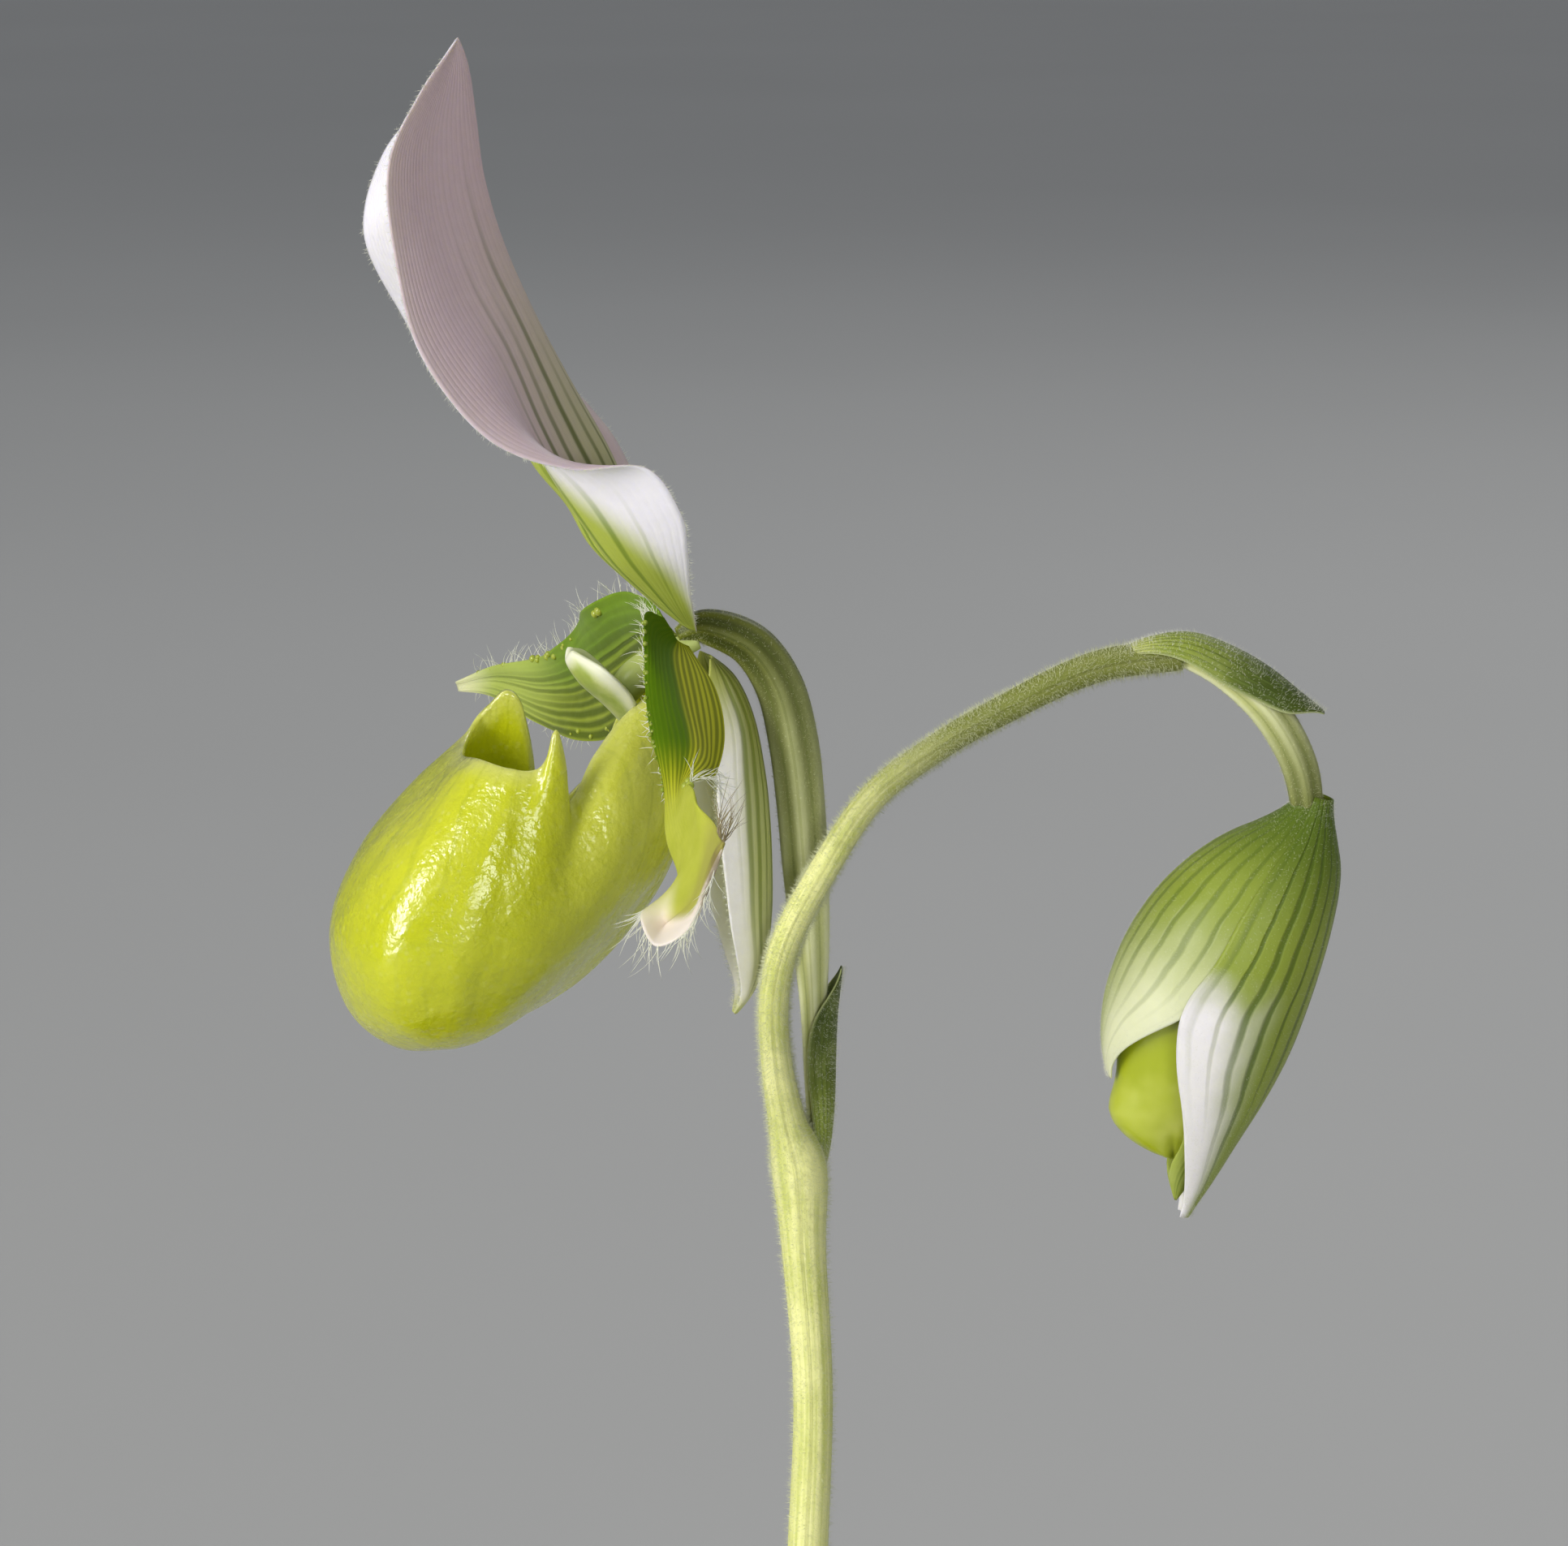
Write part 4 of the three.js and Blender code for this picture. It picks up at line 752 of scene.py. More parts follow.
def lip_paint():
    """Glossy yellow-green slipper with faint darker veins and a finely creased skin. Painted light
    brightens its lower part and, on top of its own paler tone, the claw.
    """
    paint = Paint("lip")
    u, v = paint.uv()
    where = paint.place()
    cloud = where.noise(75.0)
    drift = where.noise(60.0, 2.0)
    across = u + (drift - 0.5) * 0.1
    ribs = across.veins(34, 0.12) * cloud.band(0.35, 0.6)
    meshes = paint.vector(across * 40.0, (v + drift) * 22.0).cells(1.0, "DISTANCE_TO_EDGE")
    links = meshes.band(0.05, 0.0) * cloud.band(0.6, 0.4)
    claw_pale_and_lit = v.band(0.62, 0.15) * u.beside().band(0.6, 0.2)
    dots = where.cells(1100.0).band(0.3, 0.12, 0.0, 0.22)
    colour = paint.coats(
        (0.49, 0.53, 0.004),
        (cloud.band(0.3, 0.7), (0.6, 0.635, 0.014)),
        # Painted light: the lower part is brightened.
        (v.band(0.6, 0.95, 0.0, 0.8), (0.66, 0.69, 0.008)),
        # The claw's paler colour is its own, lightened further by painted light.
        (claw_pale_and_lit * 0.65, (0.68, 0.7, 0.15)),
        (v.band(0.07, 0.0, 0.0, 0.6), (0.68, 0.7, 0.2)),
        (paint.most(ribs * 0.26, links * 0.2), (0.3, 0.35, 0.01)),
        (dots * cloud, (0.86, 0.88, 0.4)),
    )
    fine = where.cells(2100.0, "SMOOTH_F1") * -0.2 + where.noise(900.0) * 0.22
    height = fine + where.noise(150.0, 2.0) * 1.6 + where.noise(380.0, 4.0, 0.65) * 1.3
    rough = where.noise(500.0).band(0.35, 0.65, 0.2, 0.34)
    return paint.finish(colour, rough, height, 0.17, Coat_Weight=0.6, Coat_Roughness=0.12,
                        **living(3.0, 0.6, 0.5))


def clouded_paint(name, size, low, high, roughness, relief, **inputs):
    """Two tones in clouds that also raise the surface; size is the noise's scale and detail."""
    paint = Paint(name)
    cloud = paint.noise(*size)
    colour = paint.mix(cloud.band(0.35, 0.65), low, high)
    return paint.finish(colour, roughness, cloud, relief, **inputs)


def column_paint():
    """Whitish shield: pale green middle, white rim that is partly its own pale edge and partly a painted
    highlight.
    """
    paint = Paint("column")
    u, v = paint.uv()
    where = paint.place()
    rim = paint.most(u.beside().band(0.55, 0.9), v.band(0.8, 0.97))
    cloud = where.noise(350.0)
    lines = where.cells(1100.0, "DISTANCE_TO_EDGE").band(0.05, 0.0, 0.0, 0.25)
    colour = paint.coats(
        (0.38, 0.47, 0.1),
        (cloud.band(0.35, 0.65), (0.56, 0.62, 0.22)),
        (lines, (0.34, 0.46, 0.09)),
        # The white rim: the shield's own pale edge and a painted highlight along it.
        (rim * 0.85, (0.86, 0.86, 0.7)),
    )
    return paint.finish(colour, 0.3, cloud, 0.08, **living(1.0, 0.35))


def post_paint():
    paint = Paint("column_post")
    cloud = paint.noise(400.0)
    colour = paint.mix(cloud, (0.36, 0.44, 0.1), (0.58, 0.64, 0.25))
    return paint.finish(colour, 0.35, cloud, 0.08, **living(1.0, 0.35))


def stem_paint():
    """Soft green stem with streaks along it, with painted shade: darker green where it arches over."""
    paint = Paint("stem")
    u, v = paint.uv()
    lines = paint.streaks(u * 24.0, v * 10.0)
    grain = paint.noise(2600.0, 2.0)
    share = lines * 0.6 + paint.noise(220.0) * 0.4
    # Painted shade: this dark green is laid over the top of the arch.
    arch_shade = paint.mix(share, (0.08, 0.1, 0.004), (0.16, 0.19, 0.02))
    colour = paint.coats(
        (0.56, 0.6, 0.17),
        (share.band(0.36, 0.62), (0.8, 0.8, 0.36)),
        (v.band(0.72, 0.88) * 0.85, arch_shade),
        (grain.band(0.62, 0.8, 0.0, 0.2), (0.86, 0.88, 0.58)),
    )
    return paint.finish(colour, 0.55, lines + grain, 0.06, **living(1.2, 0.3))


def ovary_paint():
    """Low pale ribs over green valleys with a dark furrow and painted glints; painted shade darkens it
    towards the flower.
    """
    paint = Paint("ovary")
    u, v = paint.uv()
    where = paint.place()
    rib = paint.math("COSINE", u * (OVARY_RIBS * TURN)).band(-0.9, 0.9)
    # Painted shade: rise grows towards the flower's end and darkens the ground and the ribs there.
    rise = (v + (where.noise(260.0) - 0.5) * 0.1).band(0.15, 0.95)
    ridge_lit_to_shaded = paint.mix(rise, (0.82, 0.84, 0.5), (0.13, 0.15, 0.01))
    furrow = u.veins(OVARY_RIBS, 0.09)
    # Painted glints: small pale dots on the ribs.
    dots = where.cells(1900.0).band(0.22, 0.08, 0.0, 0.25)
    colour = paint.coats(
        (0.64, 0.67, 0.28),
        (rise, (0.06, 0.075, 0.003)),
        (rib, ridge_lit_to_shaded),
        (furrow * 0.3, (0.12, 0.16, 0.02)),
        (dots * rib, (0.74, 0.76, 0.45)),
    )
    return paint.finish(colour, 0.48, where.noise(2400.0, 2.0), 0.06, **living(1.2, 0.3))


def bract_paint():
    """Green sheath with pale edges; its foot takes the stem's colour."""
    paint = Paint("bract")
    u, v = paint.uv()
    where = paint.place()
    lines = paint.stripes(u, v, 15, 1.3, 0.3)
    cloud = where.noise(240.0).band(0.45, 0.75, 0.0, 0.4)
    rim = u.beside().band(0.9, 1.0, 0.0, 0.7)
    colour = paint.coats(
        (0.26, 0.32, 0.05),
        (v.band(0.25, 0.7), (0.06, 0.09, 0.008)),
        (cloud, (0.36, 0.42, 0.12)),
        (v.band(0.26, 0.06), (0.5, 0.54, 0.15)),
        (lines * 0.35, (0.12, 0.18, 0.02)),
        (rim, (0.6, 0.66, 0.32)),
    )
    return paint.finish(colour, 0.5, lines + where.noise(2000.0), 0.06, **living(0.9, 0.3))


def leaf_paint():
    """Tessellated strap leaf: dark blocks on a grey-green ground, veins along it."""
    paint = Paint("leaf")
    u, v = paint.uv()
    wander = paint.streaks(u * 3.0, v * 9.0)
    spot = paint.vector(u * 11.0 + wander, v * 26.0 + wander)
    tone = spot.cells(1.0, "F1", "Color").parts("Color")[0]
    ragged = paint.streaks(u * 16.0, v * 60.0, 4.0, 0.6)
    share = (tone * 0.6 + ragged * 0.5).band(0.42, 0.62)
    midrib = paint.math("ABSOLUTE", u - 0.5).band(0.03, 0.0)
    veins = u.veins(15, 0.16)
    upper = paint.coats(
        (0.03, 0.085, 0.022),
        (share, (0.19, 0.29, 0.105)),
        (veins * 0.35, (0.035, 0.09, 0.02)),
        (midrib * 0.6, (0.05, 0.13, 0.03)),
    )
    colour = paint.coats(
        (0.16, 0.24, 0.08),
        (paint.noise(90.0), (0.22, 0.31, 0.12)),
        (paint.field("face"), upper),
    )
    grain = paint.noise(1300.0, 2.0)
    rough = grain.band(0.3, 0.7, 0.28, 0.42)
    return paint.finish(colour, rough, veins * -0.8 + grain * 0.35, 0.12, **living(0.8, 0.15))


def bark_paint():
    """Fir bark: every chip has its own tone, with a flaky grain and dusty high spots."""
    paint = Paint("bark_mix")
    tone = paint.field("tone")
    flakes = paint.noise(320.0, 5.0, 0.65)
    fine = paint.noise(1500.0, 4.0, 0.6)
    light = paint.mix(tone, (0.17, 0.085, 0.04), (0.4, 0.24, 0.12))
    colour = paint.coats(
        (0.06, 0.03, 0.016),
        (tone, (0.19, 0.095, 0.045)),
        (flakes.band(0.35, 0.68), light),
        (fine.band(0.6, 0.8, 0.0, 0.4), (0.45, 0.34, 0.22)),
    )
    return paint.finish(colour, 0.85, flakes + fine * 0.4, 0.9)


def pumice_paint():
    paint = Paint("pumice")
    cloud = paint.noise(500.0, 4.0)
    colour = paint.mix(cloud, (0.52, 0.49, 0.44), (0.8, 0.78, 0.73))
    return paint.finish(colour, 0.9, paint.place().cells(1400.0) + cloud, 0.5)


def clay_paint():
    """Fired clay: speckled, faintly banded by the wheel, with pale mineral bloom."""
    paint = Paint("clay")
    where = paint.place()
    height = where.parts()[2]
    speck = where.noise(1400.0, 2.0)
    bands = paint.vector(0.0, 0.0, height * 900.0).noise(1.0, 2.0)
    cloud = where.noise(22.0, 4.0).band(0.35, 0.65)
    foot_and_collar = height.band(0.03, 0.0, 0.0, 0.16) + height.band(0.068, 0.08, 0.0, 0.1)
    stain = where.noise(48.0, 5.0, 0.6) + foot_and_collar
    colour = paint.coats(
        (0.4, 0.165, 0.085),
        (cloud, (0.5, 0.22, 0.12)),
        (speck.band(0.62, 0.75, 0.0, 0.5), (0.25, 0.1, 0.05)),
        (bands.band(0.45, 0.75, 0.0, 0.2), (0.6, 0.31, 0.19)),
        (stain.band(0.58, 0.78, 0.0, 0.55), (0.7, 0.6, 0.52)),
    )
    return paint.finish(colour, 0.82, bands * 0.6 + speck * 0.4, 0.12)


def hair_paint(name="hair", colour=(0.84, 0.85, 0.66)):
    return Paint(name).finish(colour, 0.45, **living(0.3, 0.3))


def floor_paint():
    paint = Paint("floor")
    cloud = paint.noise(1.5)
    return paint.finish(paint.mix(cloud, (0.5, 0.5, 0.49), (0.54, 0.54, 0.53)), 0.7)


def dress(thing, material, slot, *nodes):
    """Gives a piece its material and its body, and hides the solids it stands for, naming it after the
    first; slot is not used.
    """
    thing.data.materials.append(material)
    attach(thing, "root")
    if nodes:
        thing.name = f"{nodes[0]}_look"
        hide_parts(*nodes)
    return thing


def sheet(name, grid, thickness, material, slot, face=1):
    """A blade that stands for the solid of its name."""
    dress(blade(name, grid, thickness, face), material, slot, name)


# Pot, medium, crown and leaves

def pot_radius(height, inset=0.0):
    foot = POT_FOOT_RADIUS - inset
    top = POT_TOP_RADIUS - COLLAR_STEP - inset
    return foot + (top - foot) * height / POT_HEIGHT


def pot():
    collar_foot = POT_HEIGHT - COLLAR_HEIGHT
    outline = rounded([
        (0, 0),
        (POT_FOOT_RADIUS, 0),
        (pot_radius(collar_foot), collar_foot),
        (POT_TOP_RADIUS - COLLAR_SLOPE, collar_foot),
        (POT_TOP_RADIUS, POT_HEIGHT),
        (pot_radius(POT_HEIGHT, POT_WALL), POT_HEIGHT),
        (pot_radius(POT_FLOOR, POT_WALL), POT_FLOOR),
        (0, POT_FLOOR),
    ], POT_ROUNDING)
    shell = lathe("pot", outline, sides=144)
    for i in range(DRAIN_COUNT):
        turn = (i + 0.5) * TURN / DRAIN_COUNT
        bpy.ops.mesh.primitive_cylinder_add(
            vertices=40,
            radius=DRAIN_RADIUS * MM,
            depth=4 * POT_FLOOR * MM,
            location=(DRAIN_CIRCLE * math.cos(turn) * MM, DRAIN_CIRCLE * math.sin(turn) * MM, 0),
        )
        drill = bpy.context.object
        cut = shell.modifiers.new("drain", "BOOLEAN")
        cut.operation = "DIFFERENCE"
        cut.object = drill
        bpy.context.view_layer.objects.active = shell
        bpy.ops.object.modifier_apply(modifier=cut.name)
        bpy.data.objects.remove(drill)
    shell.data.set_sharp_from_angle(angle=math.radians(50))
    dress(shell, clay_paint(), "clay", "pot")


def chip_shape(size, draws):
    """One flake of bark: a rounded, uneven slab."""
    turns = 9
    angle = np.arange(turns) / turns * TURN + draws.uniform(-0.15, 0.15, turns)
    reach = 1 + draws.uniform(-0.22, 0.22, turns)
    rings = []
    for height, inset in ((-0.5, 0.78), (-0.2, 1.0), (0.25, 0.97), (0.5, 0.72)):
        rise = height + draws.uniform(-0.1, 0.1, turns)
        rings.append(np.stack([
            np.cos(angle) * reach * inset, np.sin(angle) * reach * inset, rise,
        ], axis=-1))
    return closed(np.array(rings) * (size[0] / 2, size[1] / 2, size[2]))


def scattered(name, count, sizes, height, lean, draws, inner, outer):
    """Chips spread evenly over the medium, joined in one mesh with a tone for each."""
    shapes, tones = [], []
    for i in range(count):
        reach = math.sqrt(inner ** 2 + (outer ** 2 - inner ** 2) * (i + 0.5) / count)
        turn = i * GOLDEN_TURN + draws.uniform(-0.15, 0.15)
        size = [draws.uniform(*span) for span in sizes]
        points, faces = chip_shape(size, draws)
        spot = (reach * math.cos(turn), reach * math.sin(turn), height + draws.uniform(-0.9, 1.3))
        tilt = Euler((*draws.uniform(-lean, lean, 2), draws.uniform(0, TURN))).to_matrix()
        shapes.append((points @ np.array(tilt).T + spot, faces))
        tones.append(np.full(len(points), draws.uniform(0, 1)))
    return make_object(name, *joined(shapes), None, {"tone": np.concatenate(tones)})


def medium():
    draws = np.random.default_rng(7)
    inset = POT_WALL + FIT_GAP
    foot = POT_FLOOR + FIT_GAP
    rim = pot_radius(MEDIUM_EDGE, inset)
    bed = lathe("bark_bed", [
        (0, foot), (pot_radius(foot, inset), foot), (rim, MEDIUM_EDGE),
        (rim - 4, MEDIUM_TOP - 0.5), (20, MEDIUM_TOP), (0, MEDIUM_TOP),
    ], sides=96)
    bark = bark_paint()
    dress(bed, bark, "bark_mix", "medium")
    for name, count, sizes, lift, lean, inner, outer, paint in (
        ("bark_fines", 420, ((2, 4), (1.6, 3), (1, 2)), 0.2, 0.6, 8, 43.5, bark),
        ("bark_chips", 120, ((6, 12), (5, 9), (2.2, 4)), 1.0, 0.4, 14, 40, bark),
        ("pumice", 46, ((2, 4.5), (2, 4), (1.8, 3)), 1.2, 0.8, 12, 42, pumice_paint()),
    ):
        chips = scattered(name, count, sizes, MEDIUM_TOP + lift, lean, draws, inner, outer)
        dress(chips, paint, "bark_mix")


def crown():
    outline = rounded([
        (0, 70), (5.5, 70), (6.3, 73), (6.3, 83), (4.7, 86.4), (2.9, 90.4), (2.6, CROWN_TOP),
        (0, CROWN_TOP),
    ], 0.6)
    paint = clouded_paint("shoot", (180.0, 4.0), (0.30, 0.22, 0.09), (0.42, 0.50, 0.18), 0.6, 0.3,
                          **living(0.8, 0.15))
    dress(lathe("crown", outline, sides=48), paint, "shoot", "crown")


def leaf_grid(length, half_width, launch, arch, clasp, start, u, v):
    """Middle points of one strap leaf that leaves the crown along +X."""
    steps = 240
    f = (np.arange(steps) + 0.5) / steps
    tilt = np.radians(launch + (arch - launch) * f ** 1.25)
    run = np.concatenate([[0], np.cumsum(np.sin(tilt))]) * length / steps + clasp
    rise = np.concatenate([[0], np.cumsum(np.cos(tilt))]) * length / steps + start
    at = np.linspace(0, 1, steps + 1)
    r = np.interp(v, at, run)[:, None]
    z = np.interp(v, at, rise)[:, None]
    lean = np.radians(launch + (arch - launch) * v ** 1.25)[:, None]
    swell = np.sin(np.pi * np.minimum(1, 0.08 + 0.94 * v) ** 0.85) ** 0.62
    opened = smoothstep(v, 0.02, 0.4)
    half = np.maximum(1.25 * clasp * (1 - opened) + half_width * swell * opened, 0.8)[:, None]
    opened = opened[:, None]
    s = (2 * u - 1)[None, :]
    wrap = np.radians(72 * (1 - opened) + 20 * opened)
    bend = half / wrap
    crease = 0.12 * half * opened * np.abs(s)
    ripple = 0.9 * opened * (1 - v[:, None]) * s * s * np.sin(9 * np.pi * v[:, None] + 2 * s)
    lift = bend * (1 - np.cos(s * wrap)) + crease + ripple
    return np.stack([
        r - lift * np.cos(lean),
        bend * np.sin(s * wrap),
        z + lift * np.sin(lean),
    ], axis=-1)


def leaves():
    paint = leaf_paint()
    u = np.linspace(0, 1, 41)
    v = np.linspace(0, 1, 121)
    for number, (azimuth, *shape) in enumerate(LEAVES, 1):
        points = turned(leaf_grid(*shape, u, v), math.radians(azimuth))
        sheet(f"leaf_{number}", points, LEAF_THICKNESS, paint, "leaf", -1)


# Stem, bracts and ovaries

def stem_rings(points, radii, steps, sides, ribs=0.0):
    s = np.linspace(0, 1, steps)
    angle = np.arange(sides) / sides * TURN
    radius = along(np.array(radii)[:, None], s)
    return around(points, s, angle[None, :], radius * (1 + ribs * np.cos(OVARY_RIBS * angle)))


def fuzz(name, points, radii, count, lengths, thickness, seed, span=(0.0, 1.0)):
    """Fine hairs that stand off a stem."""
    draws = np.random.default_rng(seed)
    s = draws.uniform(*span, count)
    angle = draws.uniform(0, TURN, count)
    here, ahead, front, out = spine(points, s)
    away = front * np.cos(angle)[:, None] + out * np.sin(angle)[:, None]
    radius = along(np.array(radii)[:, None], s)
    lean = draws.normal(0, 0.28, (count, 3)) + ahead * 0.15
    size = draws.uniform(*lengths, count) * draws.uniform(0.5, 1.0, count)
    return hair_coat(name, here + away * (radius - 0.03), away + lean, size, thickness, draws, 1)


def skin_hairs(name, grid, count, lengths, thickness, seed, out_from):
    """Short hairs over a sheet, on the side that faces away from out_from (one point a row)."""
    draws = np.random.default_rng(seed)
    normal = normals(grid)
    facing = np.sign((normal * (grid - out_from)).sum(axis=-1, keepdims=True))
    j = draws.integers(0, grid.shape[0] - 1, count)
    i = draws.integers(0, grid.shape[1] - 1, count)
    away = (normal * facing)[j, i]
    corner = grid[j, i]
    down = (grid[j + 1, i] - corner) * draws.uniform(0, 1, (count, 1))
    across = (grid[j, i + 1] - corner) * draws.uniform(0, 1, (count, 1))
    roots = corner + down + across + away * 0.15
    ways = away + draws.normal(0, 0.4, (count, 3))
    return hair_coat(name, roots, ways, draws.uniform(*lengths, count), thickness, draws, 1)


def stems():
    fur = hair_paint("fur", (0.62, 0.65, 0.34))
    scape = tube("scape", stem_rings(SCAPE_POINTS, SCAPE_RADII, steps=420, sides=32))
    dress(scape, stem_paint(), "stem", "scape")
    coat = fuzz("scape_hairs", SCAPE_POINTS, SCAPE_RADII, 46000, (0.4, 0.85), thickness=0.016, seed=3)
    dress(coat, fur, "stem")
    paint = ovary_paint()
    for number, points, radii, count in (
        (1, OVARY_1_POINTS, OVARY_1_RADII, 9000),
        (2, OVARY_2_POINTS, OVARY_2_RADII, 3600),
    ):
        rings = stem_rings(points, radii, steps=120, sides=60, ribs=0.05)
        ovary = tube(f"ovary_{number}", rings)
        dress(ovary, paint, "ovary", f"ovary_{number}")
        coat = fuzz(f"ovary_{number}_hairs", points, radii, count, (0.2, 0.42),
                    thickness=0.011, seed=10 + number)
        dress(coat, fur, "ovary")


def bracts(hair):
    paint = bract_paint()
    v = np.linspace(0, 1, 81)
    u = np.linspace(-1, 1, 41)
    for number, points, middle, halves, radii in (
        (1, BRACT_1_POINTS, 90, (70, 84, 100, 112, 90, 12), (0.9, 1.35, 1.6, 1.7, 1.85, 2.3)),
        (2, BRACT_2_POINTS, -90, (60, 75, 95, 105, 98, 75, 20), (0.9, 1.5, 2.0, 2.2, 2.3, 2.25, 1.9)),
    ):
        half = along(np.array(halves)[:, None], v)
        angle = np.radians(middle + u[None, :] * half)
        radius = along(np.array(radii)[:, None], v)
        grid = around(points, v, angle, radius)
        sheet(f"bract_{number}", grid, BRACT_THICKNESS, paint, "bract")
        centre = spine(points, v)[0][:, None]
        coat = skin_hairs(f"bract_{number}_hairs", grid, 2600, (0.2, 0.5),
                          thickness=0.011, seed=50 + number, out_from=centre)
        dress(coat, hair, "bract")


# Flower

def edge_hairs(name, grid, edge, span, count, lengths, thickness, seed, rings=3, droop=0.0,
               curl=0.35, spread=0.4):
    """Hairs along one side edge of a grid (0 or -1), over a span of v."""
    draws = np.random.default_rng(seed)
    normal = normals(grid)[:, edge]
    line = grid[:, edge]
    inward = grid[:, 1 if edge == 0 else -2]
    at = draws.uniform(*span, count) * (len(grid) - 1)
    k = np.minimum(at.astype(int), len(grid) - 2)
    f = (at - k)[:, None]
    roots = line[k] * (1 - f) + line[k + 1] * f
    ways = unit(line - inward)[k] + normal[k] * draws.normal(0, spread, (count, 1))
    ways = unit(ways) + draws.normal(0, spread / 2, (count, 3)) - np.array([0, 0, droop])
    return hair_coat(name, roots, ways, draws.uniform(*lengths, count), thickness, draws, rings, curl)


def sepals(hair):
    u = np.linspace(0, 1, 65)
    v = np.linspace(0, 1, 145)
    dorsal = in_flower(net(DORSAL_ROWS, u, v))
    sheet("dorsal_sepal", dorsal, FLOWER_THICKNESS, dorsal_paint(), "sepal", -1)
    lower = in_flower(net(mirrored(SYNSEPALUM_ROWS), u, v))
    sheet("synsepalum", lower, FLOWER_THICKNESS, synsepalum_paint(), "sepal")
    seed = 31
    for name, grid, low in (("dorsal", dorsal, 0.02), ("synsepalum", lower, 0.1)):
        for edge, side in ((0, "left"), (-1, "right")):
            fringe = edge_hairs(f"{name}_fringe_{side}", grid, edge, (low, 0.98), 520,
                                (0.2, 0.6), thickness=0.016, seed=seed, rings=2)
            dress(fringe, hair, "sepal")
            seed += 1


def petal_grid(rows, phase, amplitude):
    """Petal with four waves along its edges."""
    u = np.linspace(0, 1, 53)
    v = np.linspace(0, 1, 165)
    points = net(rows, u, v)
    edge = np.abs(2 * u - 1)[None, :] ** 3
    fade = np.sin(np.pi * np.minimum(1, v * 1.1))[:, None]
    wave = np.sin(TURN * 4 * v[:, None] + phase + 2 * u[None, :])
    return points + normals(points) * (amplitude * edge * fade * wave)[..., None]


def beads(name, grid, span, reach, count, sizes, seed):
    """Rounded warts sunk in a sheet, at spans of its length and of its width."""
    draws = np.random.default_rng(seed)
    j = (draws.uniform(*span, count) * (len(grid) - 1)).astype(int)
    i = (draws.uniform(*reach, count) * (grid.shape[1] - 1)).astype(int)
    sizes = draws.uniform(*sizes, count)
    centres = grid[j, i] + normals(grid)[j, i] * draws.uniform(-0.2, 0.25, (count, 1))
    polar = np.linspace(math.pi - 0.12, 0.12, 7)[:, None]
    angle = np.arange(10) / 10 * TURN
    rings = np.stack([
        np.sin(polar) * np.cos(angle), np.sin(polar) * np.sin(angle), np.cos(polar) + 0 * angle,
    ], axis=-1)
    ball, faces = closed(rings, [(0, 0, -1), (0, 0, 1)])
    balls = [(ball * size + centre, faces) for size, centre in zip(sizes, centres)]
    return make_object(name, *joined(balls))


def petals(hair, dark_hair):
    wart = Paint("wart").finish((0.36, 0.42, 0.05), 0.2, **living(0.6, 0.3, 0.5))
    bead = Paint("bead").finish((0.24, 0.31, 0.03), 0.18, **living(0.5, 0.2, 0.5))
    left = in_flower(petal_grid(LEFT_PETAL_ROWS, phase=0.4, amplitude=0.35))
    right = in_flower(petal_grid(RIGHT_PETAL_ROWS, phase=1.8, amplitude=0.55))
    sheet("petal_left", left, FLOWER_THICKNESS, left_petal_paint(), "petal")
    sheet("petal_right", right, FLOWER_THICKNESS, right_petal_paint(), "petal")
    for name, grid, span, reach, count, sizes, seed, paint in (
        ("petal_left_beads", left, (0.10, 0.36), (0.0, 0.05), 70, (0.10, 0.24), 61, bead),
        ("petal_left_warts", left, (0.34, 0.42), (0.80, 1.0), 8, (0.2, 0.38), 62, wart),
        ("petal_right_wart", right, (0.335, 0.36), (0.05, 0.12), 3, (0.35, 0.6), 67, wart),
        ("petal_right_warts", right, (0.50, 0.92), (0.0, 0.10), 22, (0.16, 0.36), 63, wart),
        ("petal_right_low_warts", right, (0.40, 0.62), (0.93, 1.0), 8, (0.12, 0.28), 64, wart),
    ):
        dress(beads(name, grid, span, reach, count, sizes, seed), paint, "petal")
    for name, grid, edge, span, count, lengths, thickness, droop in (
        ("petal_right_top_hairs", right, 0, (0.12, 0.92), 84, (0.7, 2.1), 0.034, 0.0),
        ("petal_right_low_hairs", right, -1, (0.35, 0.95), 40, (0.5, 1.3), 0.03, 0.2),
        ("petal_left_top_hairs", left, 0, (0.02, 0.16), 40, (0.7, 2.0), 0.032, 0.1),
        ("petal_left_curly_hairs", left, 0, (0.14, 0.36), 44, (0.4, 1.2), 0.034, 0.2),
        ("petal_left_back_hairs", left, -1, (0.24, 0.40), 38, (1.2, 2.8), 0.036, 0.1),
        ("petal_left_low_hairs", left, 0, (0.58, 0.97), 70, (1.4, 3.4), 0.046, 1.1),
    ):
        coat = edge_hairs(name, grid, edge, span, count, lengths, thickness, seed=70 + count,
                          rings=5, droop=droop, curl=0.5)
        dress(coat, hair, "petal")
    tuft = edge_hairs("petal_left_tip_hairs", left, -1, (0.76, 0.98), 34, (1.8, 4.6),
                      thickness=0.04, seed=90, rings=5, curl=0.5, spread=0.16)
    dress(tuft, dark_hair, "petal")


